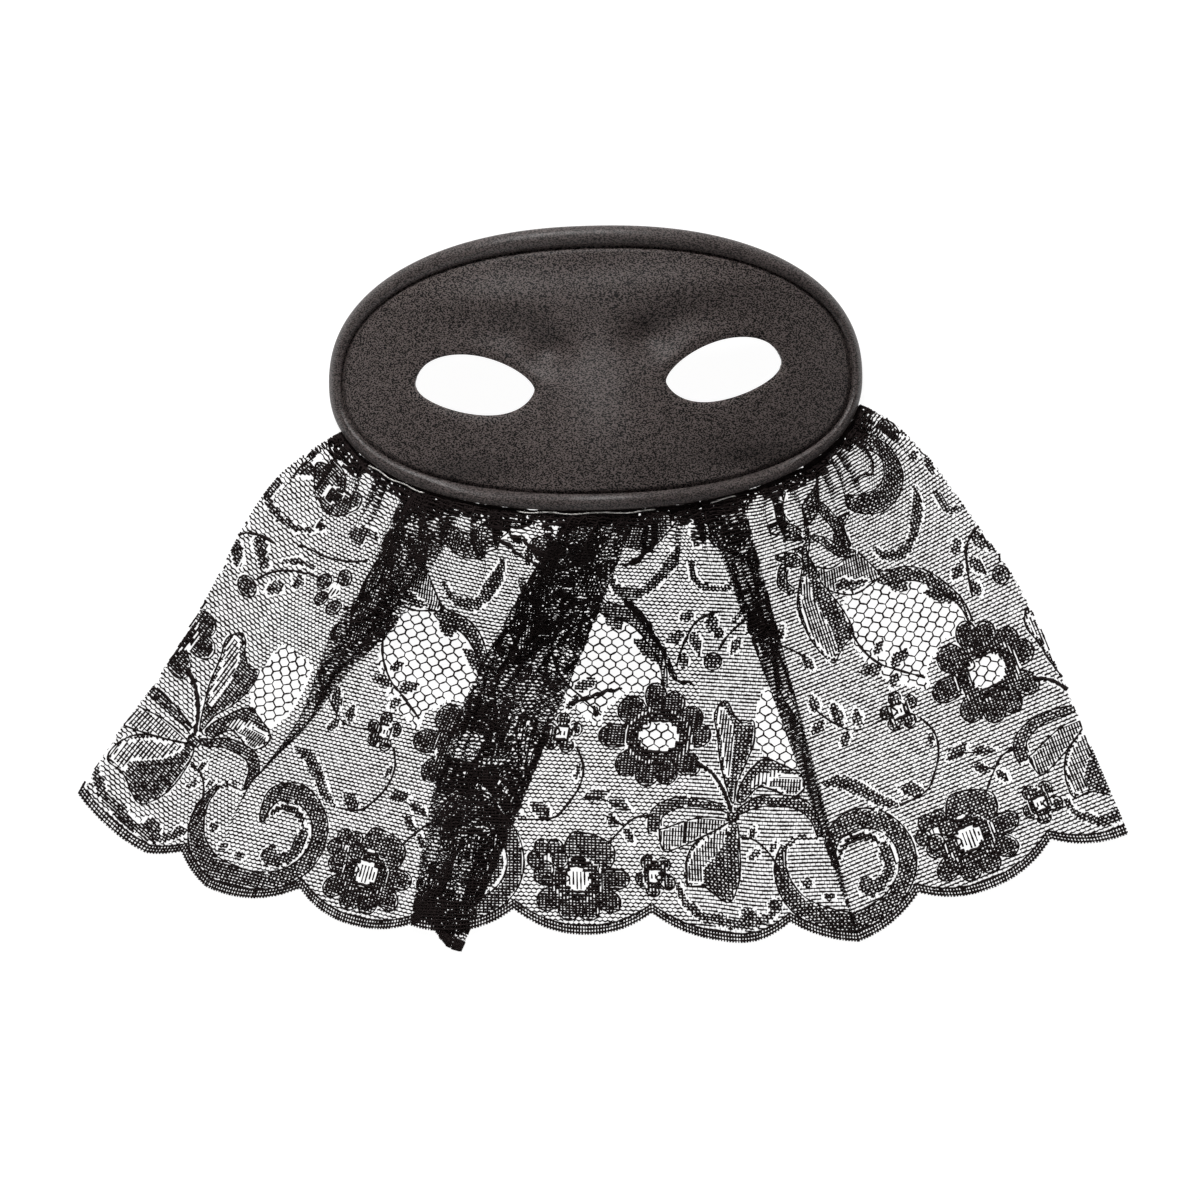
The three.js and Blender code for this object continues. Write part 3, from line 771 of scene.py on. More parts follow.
def drawSideSpray():
    # seen only beside the lace's left edge
    # the half flower at the top
    addShape(leafWork, [
        (58, 137.5), (60, 133.5), (63.5, 130), (68, 127.5), (72, 127), (76, 128.5), (80.5, 131),
        (82.5, 134.5), (81.5, 137.5), (76, 135.8), (72.5, 136.5), (68, 140.5), (64, 141),
    ])
    addShape(denseWork, [(67.5, 130.5), (68.5, 135.5), (74, 135), (73.5, 133), (69, 129.5)],
             corded=False)
    addShape(leafWork, [
        (83, 124), (84, 127), (89, 129), (93.5, 129), (95.5, 126.5), (91, 126), (90.5, 123), (88, 122),
    ], corded=False)
    addShape(denseWork, circleShape((71, 122), 1.9), corded=False)
    # the bands and leaves between
    addBand([(53, 124), (53.2, 118), (56.5, 115.5), (60, 115), (65, 116), (70, 120)],
            (3.6, 3.2, 3, 2.6, 2.2, 1.4), corded=False)
    addBand([(65.6, 104.4), (70, 108.8), (75, 109.4)], (1.6, 2.6, 1.4), corded=False)
    addLeaves([
        ((52, 137), (57.6, 138), 3.6), ((68.6, 99.6), (66, 92.4), 3.8), ((73, 105), (71, 100), 4.2),
    ])
    for ball, size in (
        ((60.5, 90.5), 2.9), ((80.5, 107), 2.6), ((87, 111), 2.6), ((83.4, 101.6), 2.4),
        ((90, 100.5), 2.6),
    ):
        addShape(leafWork, circleShape(ball, size))
    addShape(leafWork, circleShape((61.6, 100), 2.1), corded=False)
    addShape(bare, circleShape((85.8, 105.4), 1.9, 2.3), corded=False)
    addStem([(66, 142), (71, 145), (78.5, 145.5), (82, 145)], 1.6)
    addStem([(67.5, 112.5), (71.5, 114), (77.5, 114.5), (83, 115.5), (88.5, 117), (94, 119)], 1.0)
    addStem([(62, 94.5), (64.5, 99.5), (69, 104.5), (73.5, 107), (78, 107)], 1.2)


def drawUpperSpray():
    # the long leaf beside the open net
    addShape(leafWork, [
        (-4.3, 124.3), (-6.7, 118.9), (-8.8, 108.8), (-8.8, 102.1), (-7.6, 95.4), (-5.6, 90.3),
        (-3.1, 86.7), (0, 89.2), (2.8, 91.3), (6.2, 93.1), (5.8, 99.9), (3.4, 107.7), (0, 115.6),
        (-2.8, 122.3),
    ])
    addShape(striped, [
        (-4.8, 118), (-7.2, 108.8), (-7.6, 100), (-5, 91.6), (-3.1, 88.4), (-0.6, 91), (-0.4, 97),
        (-2.4, 106),
    ], corded=False)
    # the leaf above the open net
    addShape(striped, [
        (-1.1, 118.9), (4.5, 116.9), (14, 118.4), (17.4, 115), (21.3, 107.9), (17.4, 106.6),
        (11.2, 105.4), (5.6, 107.9), (1.1, 112.2),
    ])
    addShape(leafWork, [(4.5, 110.6), (8.6, 107.6), (13, 106.6), (17, 108), (12, 110.4), (8, 112)],
             corded=False)
    # the stalk and the leaves that fan out from it
    addBand([(-2.6, 130.6), (-4.6, 124.4), (-4.2, 119)], (2, 2.4, 1))
    addBand([(-4.3, 129.6), (-9.5, 134.6), (-12.4, 141.4), (-11.2, 149)], (1, 3.4, 3.6, 2))
    addBand([(-2.8, 131.3), (-1.7, 138), (3.4, 139.4), (8.6, 131.4), (12.4, 121.2)],
            (1, 3.4, 3.8, 3.6, 1.6))
    addBand([(-1.1, 129.6), (3.4, 126.4), (9, 120.8), (14.4, 118.6)], (1, 2.8, 3.2, 1.4))
    addBand([(-5.4, 127), (-11.6, 124.4), (-13.6, 118), (-9.8, 114)], (1, 3.4, 3.6, 1.6))
    addLeaves([((-4.4, 131), (-17, 138), 5.0), ((-5.6, 122), (-15.6, 127.6), 4.2)], corded=True)
    addLeaves([((-2, 134), (5.6, 149), 5.2)], corded=True)
    addStem([(92, 101), (100, 104), (110, 103), (119, 98), (125, 92)], 0.9)
    addLeaves([
        ((100, 104), (97, 110.5), 3.6), ((108, 103.4), (111.6, 96.8), 3.8),
        ((117, 99.4), (122, 105), 3.6), ((124, 93), (126.6, 86.4), 3.8),
    ])


def insideOutline(outline, gridU, gridV):
    # Even-odd test of a grid of points against a closed outline.
    hits = np.zeros(gridU.shape, bool)
    nextPoints = np.roll(outline, -1, axis=0)
    for (x0, y0), (x1, y1) in zip(outline, nextPoints):
        if y0 == y1:
            continue
        crosses = (gridV >= min(y0, y1)) & (gridV < max(y0, y1))
        hits ^= crosses & (gridU < x0 + (gridV - y0) * (x1 - x0) / (y1 - y0))
    return hits


def paintPattern():
    # One repeat of the lace as a map of what is knitted where, worked out from the outlines.
    cell = lace["cell"]
    columns = int(round(lace["repeat"] / cell))
    rows = int(round(lace["height"] / cell))
    kinds = np.zeros((rows, columns), np.uint8)
    owners = np.zeros((rows, columns), np.int16)

    def paint(kind, outline, owner):
        for wrap in (-lace["repeat"], 0, lace["repeat"]):
            low = outline.min(0) + (wrap, 0)
            high = outline.max(0) + (wrap, 0)
            c0, c1 = max(int(low[0] / cell), 0), min(int(high[0] / cell) + 2, columns)
            r0, r1 = max(int(low[1] / cell), 0), min(int(high[1] / cell) + 2, rows)
            if c0 >= c1 or r0 >= r1 or high[0] < 0:
                continue
            gridU, gridV = np.meshgrid((np.arange(c0, c1) + 0.5) * cell, (np.arange(r0, r1) + 0.5) * cell)
            hits = insideOutline(outline + (wrap, 0), gridU, gridV)
            kinds[r0:r1, c0:c1][hits] = kind
            owners[r0:r1, c0:c1][hits] = owner

    owner = 0
    for kind, outline, corded in shapes:
        owner += corded
        paint(kind, outline, owner)
    for line, width in stems:
        if width > stemPainted:
            points = line[:: max(len(line) // stemParts, 1)]
            paint(petalWork, bandShape(points, (width, width)), owner)
    return kinds, owners


drawOpenNets()
drawTrails()
drawUpperScroll()
drawUpperSpray()
drawSideSpray()
drawSpray()
drawScroll()
drawClusterFlower()
drawSmallFlowers()
drawGreatFlower()
patternMap, ownerMap = paintPattern()
print("lace pattern drawn,", len(shapes), "shapes and", len(stems), "stems")


def lookUp(cells, s, v):
    u = np.mod(s - lace["firstRepeat"], lace["repeat"])
    column = np.clip((u / lace["cell"]).astype(int), 0, cells.shape[1] - 1)
    row = np.clip((v / lace["cell"]).astype(int), 0, cells.shape[0] - 1)
    return cells[row, column]


def hemLine(s):
    # Height of the scalloped edge.
    across = np.mod(s - lace["firstRepeat"], lace["scallop"]) / lace["scallop"]
    return lace["scallopHeight"] * np.abs(2 * across - 1) ** lace["scallopPower"]


# Lace: its threads

threads = {
    "ground": {"pitch": 1.2, "wave": 1.72, "swing": 0.2, "radius": 0.325, "step": 0.86, "link": 0.1},
    "hexNet": {"pitch": 2.5, "wave": 4.0, "swing": 0.6, "radius": 0.31, "step": 1.0, "link": 0.31},
    "leafWork": {"pitch": 0.92, "wave": 1.5, "swing": 0.17, "radius": 0.44, "step": 0.75},
    "leafWarp": {"pitch": 1.24, "radius": 0.31, "step": 1.4, "lift": 0.05},
    "petalWork": {"pitch": 0.84, "wave": 1.5, "swing": 0.14, "radius": 0.42, "step": 0.75},
    "petalWarp": {"pitch": 1.1, "radius": 0.4, "step": 1.4, "lift": 0.05},
    "denseWork": {"pitch": 1.15, "wave": 3.0, "swing": 0.12, "radius": 0.6, "step": 1.0},
    "striped": {"pitch": 1.5, "wave": 3.0, "swing": 0.05, "radius": 0.2, "step": 1.4},
    "stripes": {"pitch": 0.95, "radius": 0.35, "step": 1.2, "lift": 0.05},
    "cord": {"radius": 0.36, "lift": 0.16, "hemClear": 0.8, "stem": 0.85},
    # the rim cords are a real heading cord and also a painted shadow: dark threads in the shade under the
    # edge tape
    "rimCordAndShadow": {"heights": (-1.3, -0.4, 0.6), "radius": 0.5, "step": 0.8},
    "hemRail": {"radius": 0.38, "step": 1.0, "first": 0.35, "count": 3, "lift": 0.1},
    "hemStitch": {"pitch": 0.95, "radius": 0.33, "below": 0.35, "above": 0.2},
    "heading": {"pitch": 1.9, "first": 0.6, "wave": 3.1, "swing": 0.4, "radius": 0.42, "step": 1.0,
                "most": 26},
    "fold": {  # strands of a place that is pinched double
        "spacing": 0.6, "radius": 0.36, "spread": 0.9, "waver": (0.3, 1.7, 2.1), "slip": (0.4, 1.3),
        "lift": 0.35, "layerLift": 0.1, "layers": 4,
    },
    "patternOver": 0.8,  # the pattern runs on this far over the gathering line,
    "linksOver": 0.6,  # its last links this much further,
    "warpClear": 1,  # and the threads up the lace begin this far over the scallops
    "uneven": 0.38,  # how much a thread's thickness varies along it
    "tall": 1.1,  # a thread's height, as a share of its width
    "lowest": 0.03,  # no thread dips further towards the table
}
threadCorners = (90, 210, 330)  # degrees round a thread, its ridge first
threadSheet = {"half": 0.48, "upperFrom": 0.01, "underFrom": 0.51}  # the UV map's two halves


def topLine(s):
    # the lace's cut top, past the two turns of its heading
    return rimLine(s) + 2 * headingDepth(s)


def runsOf(flags):
    # First and last index of each run of true values.
    edges = np.flatnonzero(np.diff(np.concatenate([[False], flags, [False]]).astype(int)))
    return [(a, b - 1) for a, b in zip(edges[::2], edges[1::2]) if b - 1 > a]


def workedTop(s):
    # the pattern ends here; the turned-under heading above it is coarse plain net
    return rimLine(s) + threads["patternOver"]


def hemTop(s):
    return hemLine(s) + lace["hemWidth"] - lace["hemOverlap"]


def addRuns(out, s, v, allowed, radius, lift=0.0):
    # a thread along every unbroken run of allowed points
    for a, b in runsOf(allowed):
        out.append((np.stack([s[a:b + 1], v[a:b + 1]], 1), radius, lift))


def addStitch(out, x, low, high, radius):
    out.append((np.array([[x, low], [x, high]]), radius, 0.0))


def stations(low, high, step, least=0.2):
    # evenly spaced along a panel, and one on its far edge, so that panels meet
    return np.append(np.arange(low, high - least, step), high)


def rowThreads(out, spec, kinds, low, high):
    # Threads that run along the lace, waving, wherever the pattern is one of kinds.
    s = stations(low, high, spec["step"])
    for k in range(int(lace["height"] / spec["pitch"])):
        base = (k + 0.5) * spec["pitch"]
        v = base + spec["swing"] * np.cos(2 * math.pi * s / spec["wave"] + k * math.pi)
        allowed = np.isin(lookUp(patternMap, s, v), kinds) & (v > hemTop(s))
        allowed &= (v < workedTop(s)) & betweenEdges(s, v)
        addRuns(out, s, v, allowed, spec["radius"])


def linkThreads(out, spec, kinds, low, high):
    # Short threads that join the crest of one row to the trough of the next.
    for k in range(int(lace["height"] / spec["pitch"])):
        first = -(k % 2) * spec["wave"] / 2
        start = math.ceil((low - first) / spec["wave"]) * spec["wave"] + first
        s = np.arange(start, high, spec["wave"])
        v0 = (k + 0.5) * spec["pitch"] + spec["swing"]
        v1 = (k + 1.5) * spec["pitch"] - spec["swing"]
        allowed = np.isin(lookUp(patternMap, s, s * 0 + (v0 + v1) / 2), kinds) & (v0 > hemTop(s))
        allowed &= (v1 < workedTop(s) + threads["linksOver"]) & betweenEdges(s, v1)
        for x in s[allowed]:
            addStitch(out, x, v0, v1, spec["link"])


def columnThreads(out, spec, kinds, low, high):
    # Straight threads up the lace, wherever the pattern is one of kinds.
    v = np.arange(0, lace["height"], spec["step"])
    for x in np.arange(low + spec["pitch"] / 2, high, spec["pitch"]):
        s = v * 0 + x
        allowed = np.isin(lookUp(patternMap, s, v), kinds) & (v > hemLine(s) + threads["warpClear"])
        allowed &= (v < workedTop(s)) & betweenEdges(s, v)
        addRuns(out, s, v, allowed, spec["radius"], spec["lift"])


def headingThreads(out, low, high):
    # the coarse net of the turned-under top
    spec = threads["heading"]
    s = stations(low, high, spec["step"])
    stops = np.arange(low + spec["wave"] / 4, high, spec["wave"] / 2)
    for k in range(int(spec["most"] / spec["pitch"])):
        base = (k + spec["first"]) * spec["pitch"]
        swing = spec["swing"] * np.cos(2 * math.pi * (s - low) / spec["wave"] + k * math.pi)
        v = rimLine(s) + base + swing
        addRuns(out, s, v, (v < topLine(s)) & betweenEdges(s, v), spec["radius"])
        for x in stops[k % 2::2]:
            v0 = float(rimLine(x)) + base
            if v0 + spec["pitch"] < float(topLine(x)) and betweenEdges(x, v0):
                addStitch(out, x, v0, v0 + spec["pitch"], spec["radius"])


heavyFolds = [  # places where the lace is pinched double: line on the flat lace and thickness
    ([(123.5, 140.5), (134.5, 137), (144, 133)], 3.8),
    ([(124.5, 136), (133.5, 132), (143, 128)], 1.8),
    ([(241, 121.5), (245, 123), (249, 126.5), (254, 130.5)], 3.2),
    ([(245, 109.5), (250.5, 104.5), (254.5, 99.5)], 3.0),
    ([(254, 99.5), (259, 94), (262, 88.5), (264.5, 83.5)], 1.5),
    ([(264.5, 83.5), (270.5, 82.6)], 1.5),
    ([(230, 73.5), (236, 76), (241, 78), (246, 79.5)], 1.9),
    ([(238, 73), (240, 70)], 1.7),
]


def motifCords():
    # one repeat's cords: line, where it isn't covered by a later motif, and radius
    cords = []
    owner = 0
    for _, outline, corded in shapes:
        owner += corded
        if corded:
            probe = outline + inwards(outline) * halo
            seen = lookUp(ownerMap, probe[:, 0] + lace["firstRepeat"], probe[:, 1]) == owner
            closed = np.concatenate([outline, outline[:1]])
            cords.append((closed, np.append(seen, seen[0]), threads["cord"]["radius"]))
    for line, width in stems:
        cords.append((line, np.ones(len(line), bool), width / 2 * threads["cord"]["stem"]))
    return cords


def cordThreads(out, low, high):
    # The heavier cords round the motifs, the stems, and the cords along the gathering line. These last are
    # partly the lace's real heading cord and partly painted shadow: dark threads that fill the shade under
    # the edge tape.
    spec = threads["cord"]
    for repeat in range(lace["repeats"]):
        offset = lace["firstRepeat"] + repeat * lace["repeat"]
        for line, seen, radius in motifCords():
            s = line[:, 0] + offset
            v = line[:, 1]
            if s.max() < low or s.min() > high:
                continue
            allowed = seen & (s >= low) & (s <= high) & betweenEdges(s, v)
            allowed &= (v < rimLine(s)) & (v > hemLine(s) + spec["hemClear"])
            addRuns(out, s, v, allowed, radius, spec["lift"])
    # dark cords along the gathering line: a heading cord, and painted shadow where the edge tape shades the
    # lace
    rim = threads["rimCordAndShadow"]
    s = np.linspace(low, high, int((high - low) / rim["step"]) + 1)
    for height in rim["heights"]:
        v = rimLine(s) + height
        addRuns(out, s, v, betweenEdges(s, v), rim["radius"])


def foldThreads(out, low, high):
    # A bundle of uneven strands along every place that is pinched double.
    spec = threads["fold"]
    waver, waverTurn, nextTurn = spec["waver"]
    slip, slipTurn = spec["slip"]
    for points, width in heavyFolds:
        line = spline(points, step=1.0)
        at = np.arange(len(line))
        strands = int(width / spec["spacing"]) + 2
        for k in range(strands):
            across = (k / (strands - 1) - 0.5) * width * spec["spread"]
            sideways = across + waver * np.sin(at * waverTurn + k * nextTurn)
            upward = slip * np.sin(at * slipTurn + k)
            s, v = (line + np.stack([sideways, upward], 1)).T
            lift = spec["lift"] + spec["layerLift"] * (k % spec["layers"])
            addRuns(out, s, v, (s >= low) & (s <= high), spec["radius"], lift)


def hemThreads(out, low, high):
    # The worked edge: three rails and the close stitches across them.
    rail = threads["hemRail"]
    stitch = threads["hemStitch"]
    s = np.linspace(low, high, int((high - low) / rail["step"]) + 1)
    for height in np.linspace(rail["first"], lace["hemWidth"], rail["count"]):
        out.append((np.stack([s, hemLine(s) + height], 1), rail["radius"], rail["lift"]))
    for x in np.arange(math.ceil(low / stitch["pitch"]) * stitch["pitch"], high, stitch["pitch"]):
        start = hemLine(x) - stitch["below"]
        end = hemLine(x) + lace["hemWidth"] + stitch["above"]
        addStitch(out, x, start, end, stitch["radius"])


def threadMesh(name, pieces):
    # One mesh of three-sided threads: each runs along the draped lace with its ridge up.
    counts = np.array([len(p[0]) for p in pieces])
    flat = np.concatenate([p[0] for p in pieces])
    grain = np.sin(flat[:, 0] * 12.9898 + flat[:, 1] * 78.233) * 43758.5453  # an even scatter, no seed
    radius = np.repeat([p[1] for p in pieces], counts)
    radius *= 1 + threads["uneven"] * (2 * (grain - np.floor(grain)) - 1)
    radius = radius[:, None]
    lift = np.repeat([p[2] for p in pieces], counts)
    first = np.concatenate([[0], np.cumsum(counts)[:-1]])
    last = first + counts - 1
    x, y, z = layLace(flat[:, 0], flat[:, 1])
    centre = np.stack([x, y, z + lift], 1)
    before = np.arange(len(flat)) - 1
    after = np.arange(len(flat)) + 1
    before[first] = first
    after[last] = last
    tangent = unit(centre[after] - centre[before])
    side = unit(np.cross((0, 0, 1.0), tangent))
    up = np.cross(tangent, side)
    flatSide = leftOf(unit(flat[after] - flat[before]))
    rings, flatRings = [], []
    for corner in threadCorners:
        across, rise = math.cos(math.radians(corner)), math.sin(math.radians(corner))
        rings.append(centre + radius * (across * side + rise * threads["tall"] * up))
        flatRings.append(flat + radius * across * flatSide)
    points = np.stack(rings, 1).reshape(-1, 3)
    points = toRow(points[:, 0], points[:, 1], np.maximum(points[:, 2], threads["lowest"]))
    flatPoints = np.stack(flatRings, 1).reshape(-1, 2) - (lace["start"], 0)
    return meshOfThreads(name, points, flatPoints / (lace["length"], lace["height"]), first, last)


def meshOfThreads(name, points, flatPoints, first, last):
    # Three quads from each ring of a thread to the next, and a cap on each end. The UV map is the
    # flat lace, twice: the threads' upper sides below, their undersides above.
    starts = np.setdiff1d(np.arange(last[-1] + 1), last) * 3
    quads = []
    for k in range(3):
        j = (k + 1) % 3
        quads.append(np.stack([starts + k, starts + j, starts + 3 + j, starts + 3 + k], 1))
    quads = np.stack(quads, 1).reshape(-1, 4)
    startCaps = np.stack([first * 3 + 2, first * 3 + 1, first * 3], 1)
    endCaps = np.stack([last * 3, last * 3 + 1, last * 3 + 2], 1)
    loops = np.concatenate([quads.ravel(), startCaps.ravel(), endCaps.ravel()]).astype(np.int32)
    sizes = np.repeat([4, 3], [len(quads), len(first) * 2])
    mesh = bpy.data.meshes.new(name)
    mesh.vertices.add(len(points))
    mesh.vertices.foreach_set("co", points.astype(np.float32).ravel())
    mesh.loops.add(len(loops))
    mesh.loops.foreach_set("vertex_index", loops)
    mesh.polygons.add(len(sizes))
    loopStarts = np.concatenate([[0], np.cumsum(sizes)[:-1]])
    mesh.polygons.foreach_set("loop_start", loopStarts.astype(np.int32))
    mesh.update(calc_edges=True)
    under = np.zeros(len(loops), bool)
    under[: len(quads) * 4] = np.repeat(np.tile([False, True, False], len(quads) // 3), 4)
    uv = flatPoints[loops]
    start = np.where(under, threadSheet["underFrom"], threadSheet["upperFrom"])
    uv[:, 1] = uv[:, 1] * threadSheet["half"] + start
    layout = mesh.uv_layers.new(name="OFBake")
    layout.data.foreach_set("uv", uv.astype(np.float32).ravel())
    obj = bpy.data.objects.new(name, mesh)
    bpy.context.scene.collection.objects.link(obj)
    return obj


lacePanels = {  # where each panel starts and ends along the flat lace
    "lace_left_side": (-5.0, 66.0),
    "lace_left_front": (66.0, 135.0),
    "lace_left_pleat": (135.0, 203.0),
    "lace_middle": (203.0, 273.0),
    "lace_right_pleat": (273.0, 348.0),
    "lace_right_side": (348.0, 421.6),
}


weaves = (  # maker, its values, and the parts of the pattern that it works
    (rowThreads, "ground", (ground,)),
    (linkThreads, "ground", (ground,)),
    (rowThreads, "hexNet", (hexNet,)),
    (linkThreads, "hexNet", (hexNet,)),
    (rowThreads, "leafWork", (leafWork,)),
    (columnThreads, "leafWarp", (leafWork, bare)),
    (rowThreads, "petalWork", (petalWork,)),
    (columnThreads, "petalWarp", (petalWork, denseWork)),
    (rowThreads, "denseWork", (denseWork,)),
    (rowThreads, "striped", (striped,)),
    (columnThreads, "stripes", (striped,)),
)


def makeLacePanel(name, low, high):
    out = []
    for maker, spec, kinds in weaves:
        maker(out, threads[spec], kinds, low, high)
    headingThreads(out, low, high)
    cordThreads(out, low, high)
    foldThreads(out, low, high)
    hemThreads(out, low, high)
    obj = threadMesh(name, out)
    triangles = sum(len(p.vertices) - 2 for p in obj.data.polygons)
    print(name, len(out), "threads,", triangles, "triangles")
    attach(obj, "root")
    return obj


lacePieces = []
for name, (low, high) in lacePanels.items():
    piece = makeLacePanel(name, low, high)
    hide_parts("lace_veil")
    lacePieces.append(piece)
print("lace laid")

# Mask: the satin-covered shell

cover = {
    "grid": 0.64,
    "span": (178, 100),  # size of the grid that the cover is cut from
    "middleV": 3.5,
    "inset": 1.2,
    "evenReach": 4,  # the grid is evened out this far in from its borders
    "evenRounds": 12,
    "bevel": 0.45,
    "bevelOverDeg": 50,
    "eyeLip": 0.9,  # the cloth turns in at the eye openings
    "eyeLipWide": 1.5,
    "eyeLipPower": 1.5,
    "groove": 1.7,  # depth of the pressed line beside the tape
    "grooveOut": 0.25,
    "grooveWide": 0.7,
}
tapeBand = {"side": 3.65, "overTop": 0.65, "topAndBottom": 2.3, "right": -0.35}


def bandWidth(angle):
    # how much of the mask's face the tape covers: least at the temples, and most at the top
    lift = np.sin(angle)
    width = tapeBand["side"] + tapeBand["overTop"] * lift + tapeBand["topAndBottom"] * lift**2
    return width + tapeBand["right"] * np.cos(angle)


def eyeOutline(eye):
    angle = roundAngles(720)
    rise = np.sin(angle)
    blunt = np.where(np.cos(angle) * eye["out"] > 0, *eyeBlunt)
    v = signedPower(rise, blunt) * np.where(rise > 0, eye["above"], eye["below"])
    u = eye["half"] * np.cos(angle) + eye["out"] * np.where(rise > 0, *eyeSkew) * rise**2
    turn = math.radians(eye["turnDeg"])
    x = eye["at"][0] + u * math.cos(turn) - v * math.sin(turn)
    y = eye["at"][1] + u * math.sin(turn) + v * math.cos(turn)
    return np.stack(toMask(x, y), 1)


def denseLoop(points, step=0.05):
    closed = np.concatenate([points, points[:1]])
    lengths = lengthsAlong(closed)
    at = np.arange(0, lengths[-1], step)
    return np.stack([np.interp(at, lengths, closed[:, 0]), np.interp(at, lengths, closed[:, 1])], 1)


def nearestOn(loop, points, batch=2000):
    # the point of the loop nearest to each point, and how far away it is
    out = np.empty_like(points)
    gap = np.empty(len(points))
    for start in range(0, len(points), batch):
        part = points[start:start + batch]
        squared = ((part[:, None, :] - loop[None, :, :]) ** 2).sum(-1)
        best = squared.argmin(1)
        out[start:start + batch] = loop[best]
        gap[start:start + batch] = np.sqrt(squared[np.arange(len(part)), best])
    return out, gap


def closestGap(loops, points):
    return np.min(np.stack([nearestOn(loop, points)[1] for loop in loops]), 0)


def cutGrid(loops):
    # A fine grid, cut to the mask's outline and its two eye openings.
    spanU, spanV = cover["span"]
    deselectAll()
    bpy.ops.mesh.primitive_grid_add(
        x_subdivisions=int(spanU / cover["grid"]), y_subdivisions=int(spanV / cover["grid"]), size=1,
    )
    obj = bpy.context.object
    obj.name = "satin_cover"
    obj.data.name = "satin_cover"
    points = getPoints(obj)
    u = points[:, 0] * spanU
    v = points[:, 1] * spanV + cover["middleV"]
    outer, *openings = loops
    keep = insideOutline(outer[::10], u, v)
    for loop in openings:
        keep &= ~insideOutline(loop[::10], u, v)
    setPoints(obj, np.stack([u, v, u * 0], 1))
    editMode("FACE")  # faces are what is selected from here on
    objectMode()
    for polygon in obj.data.polygons:
        polygon.select = not all(keep[i] for i in polygon.vertices)
    editMode("FACE")
    bpy.ops.mesh.delete(type="FACE")
    objectMode()
    return obj


def evenBorder(obj, loops):
    # The cut grid's ragged border is drawn onto the outlines, then the rows next to it are evened out.
    flat = getPoints(obj)[:, :2]
    edges = np.array([e.vertices[:] for e in obj.data.edges])
    faceEdges = np.concatenate([[tuple(sorted(k)) for k in p.edge_keys] for p in obj.data.polygons])
    keys, uses = np.unique(faceEdges, axis=0, return_counts=True)
    border = np.unique(keys[uses == 1])
    targets, gaps = zip(*(nearestOn(loop, flat[border]) for loop in loops))
    choice = np.argmin(np.stack(gaps), 0)
    snapped = flat.copy()
    snapped[border] = np.stack(targets)[choice, np.arange(len(border))]
    move = closestGap([loop[::8] for loop in loops], flat) < cover["evenReach"]
    move[border] = False
    for _ in range(cover["evenRounds"]):
        total = np.zeros_like(snapped)
        count = np.zeros(len(snapped))
        for here, there in ((0, 1), (1, 0)):
            np.add.at(total, edges[:, here], snapped[edges[:, there]])
            np.add.at(count, edges[:, here], 1)
        mean = total / np.maximum(count, 1)[:, None]
        snapped[move] = (snapped[move] + mean[move]) / 2
    return snapped


def makeCover():
    outer = np.stack(edgeLocal(roundAngles(1440), cover["inset"]), 1)
    loops = [denseLoop(outer)] + [denseLoop(eyeOutline(eye)) for eye in eyes]
    obj = cutGrid(loops)
    flat = evenBorder(obj, loops)
    u, v = flat.T
    eyeGap = closestGap([loop[::4] for loop in loops[1:]], flat)
    height = shellFace(u, v)
    height -= cover["eyeLip"] * np.exp(-((eyeGap / cover["eyeLipWide"]) ** cover["eyeLipPower"]))
    angle = roundAngles(2880)
    groove = np.stack(edgeLocal(angle, bandWidth(angle) + cover["grooveOut"]), 1)
    grooveGap = nearestOn(groove, flat)[1]
    height -= cover["groove"] * np.exp(-((grooveGap / cover["grooveWide"]) ** 2))
    x, y = fromMask(u, v)
    setPoints(obj, toRow(x, y, height))
    applyModifier(obj, "SOLIDIFY", thickness=mask["wall"] * mm, offset=-1.0)
    applyModifier(obj, "BEVEL", width=cover["bevel"] * mm, segments=2, limit_method="ANGLE",
                  angle_limit=math.radians(cover["bevelOverDeg"]))
    chooseOnly(obj)
    bpy.ops.object.shade_smooth()
    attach(obj, "root")
    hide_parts("mask_shell")
    print("satin cover", len(obj.data.polygons), "faces")
    return obj


# Mask: the edge tape

tape = {
    "steps": 420,
    "leaf": 0.75,  # thickness under the mask
    "templePad": 3.0,  # more at the temples, where the mask rests
    "templeShares": (0.86, 0.99),
    "tuck": (0.1, 0.9),  # the inner edge runs this much further in and this deep into the groove
    "innerRise": 0.45,
    "roll": 2.1,
    "rollForm": (0.95, 2.6),  # twice the share of the band at which it is highest, and how blunt it is
    "rollShares": (0.86, 0.72, 0.57, 0.42, 0.28, 0.15, 0.05),  # where the roll's section has points
    "underShares": (0.12, 0.36, 0.6),
    "pucker": ((0.1, 83, 0), (0.07, 131, 2)),  # height, how many round the mask, and phase
    "rollPucker": 0.5,  # share of the puckers' height that the roll has
    "turnUnder": (0.02, 0.5, 0.7),  # shares of the band, the leaf and the wall where the tape turns under
    "gap": 0.35,  # how far under the wall the leaf lies
}


def tapeSection(angle):
    # The tape's section all the way round: inset from the edge, height over the shell, and the share
    # of the wall's thickness that it lies below it.
    wide = bandWidth(angle)
    leaf = tape["leaf"] + tape["templePad"] * smooth(np.abs(np.cos(angle)), *tape["templeShares"])
    pucker = sum(height * np.sin(angle * count + phase) for height, count, phase in tape["pucker"])
    none, one = np.zeros_like(angle), np.ones_like(angle)
    further, deep = tape["tuck"]
    section = [(wide + further, -deep * one, none), (wide, tape["innerRise"] + pucker, none)]
    highest, power = tape["rollForm"]
    for share in tape["rollShares"]:
        rise = tape["roll"] * (1 - abs(2 * share - highest) ** power)
        section.append((wide * share, rise + pucker * tape["rollPucker"], none))
    section.append((none, none, none))
    ofBand, ofLeaf, ofWall = tape["turnUnder"]
    section.append((wide * ofBand, -ofLeaf * leaf, ofWall * one))
    for share in tape["underShares"]:
        section.append((wide * share, -tape["gap"] - leaf, one))
    section.append((wide, -tape["gap"] - tape["leaf"] + none, one))
    section.append((wide, -tape["gap"] + none, one))
    return section


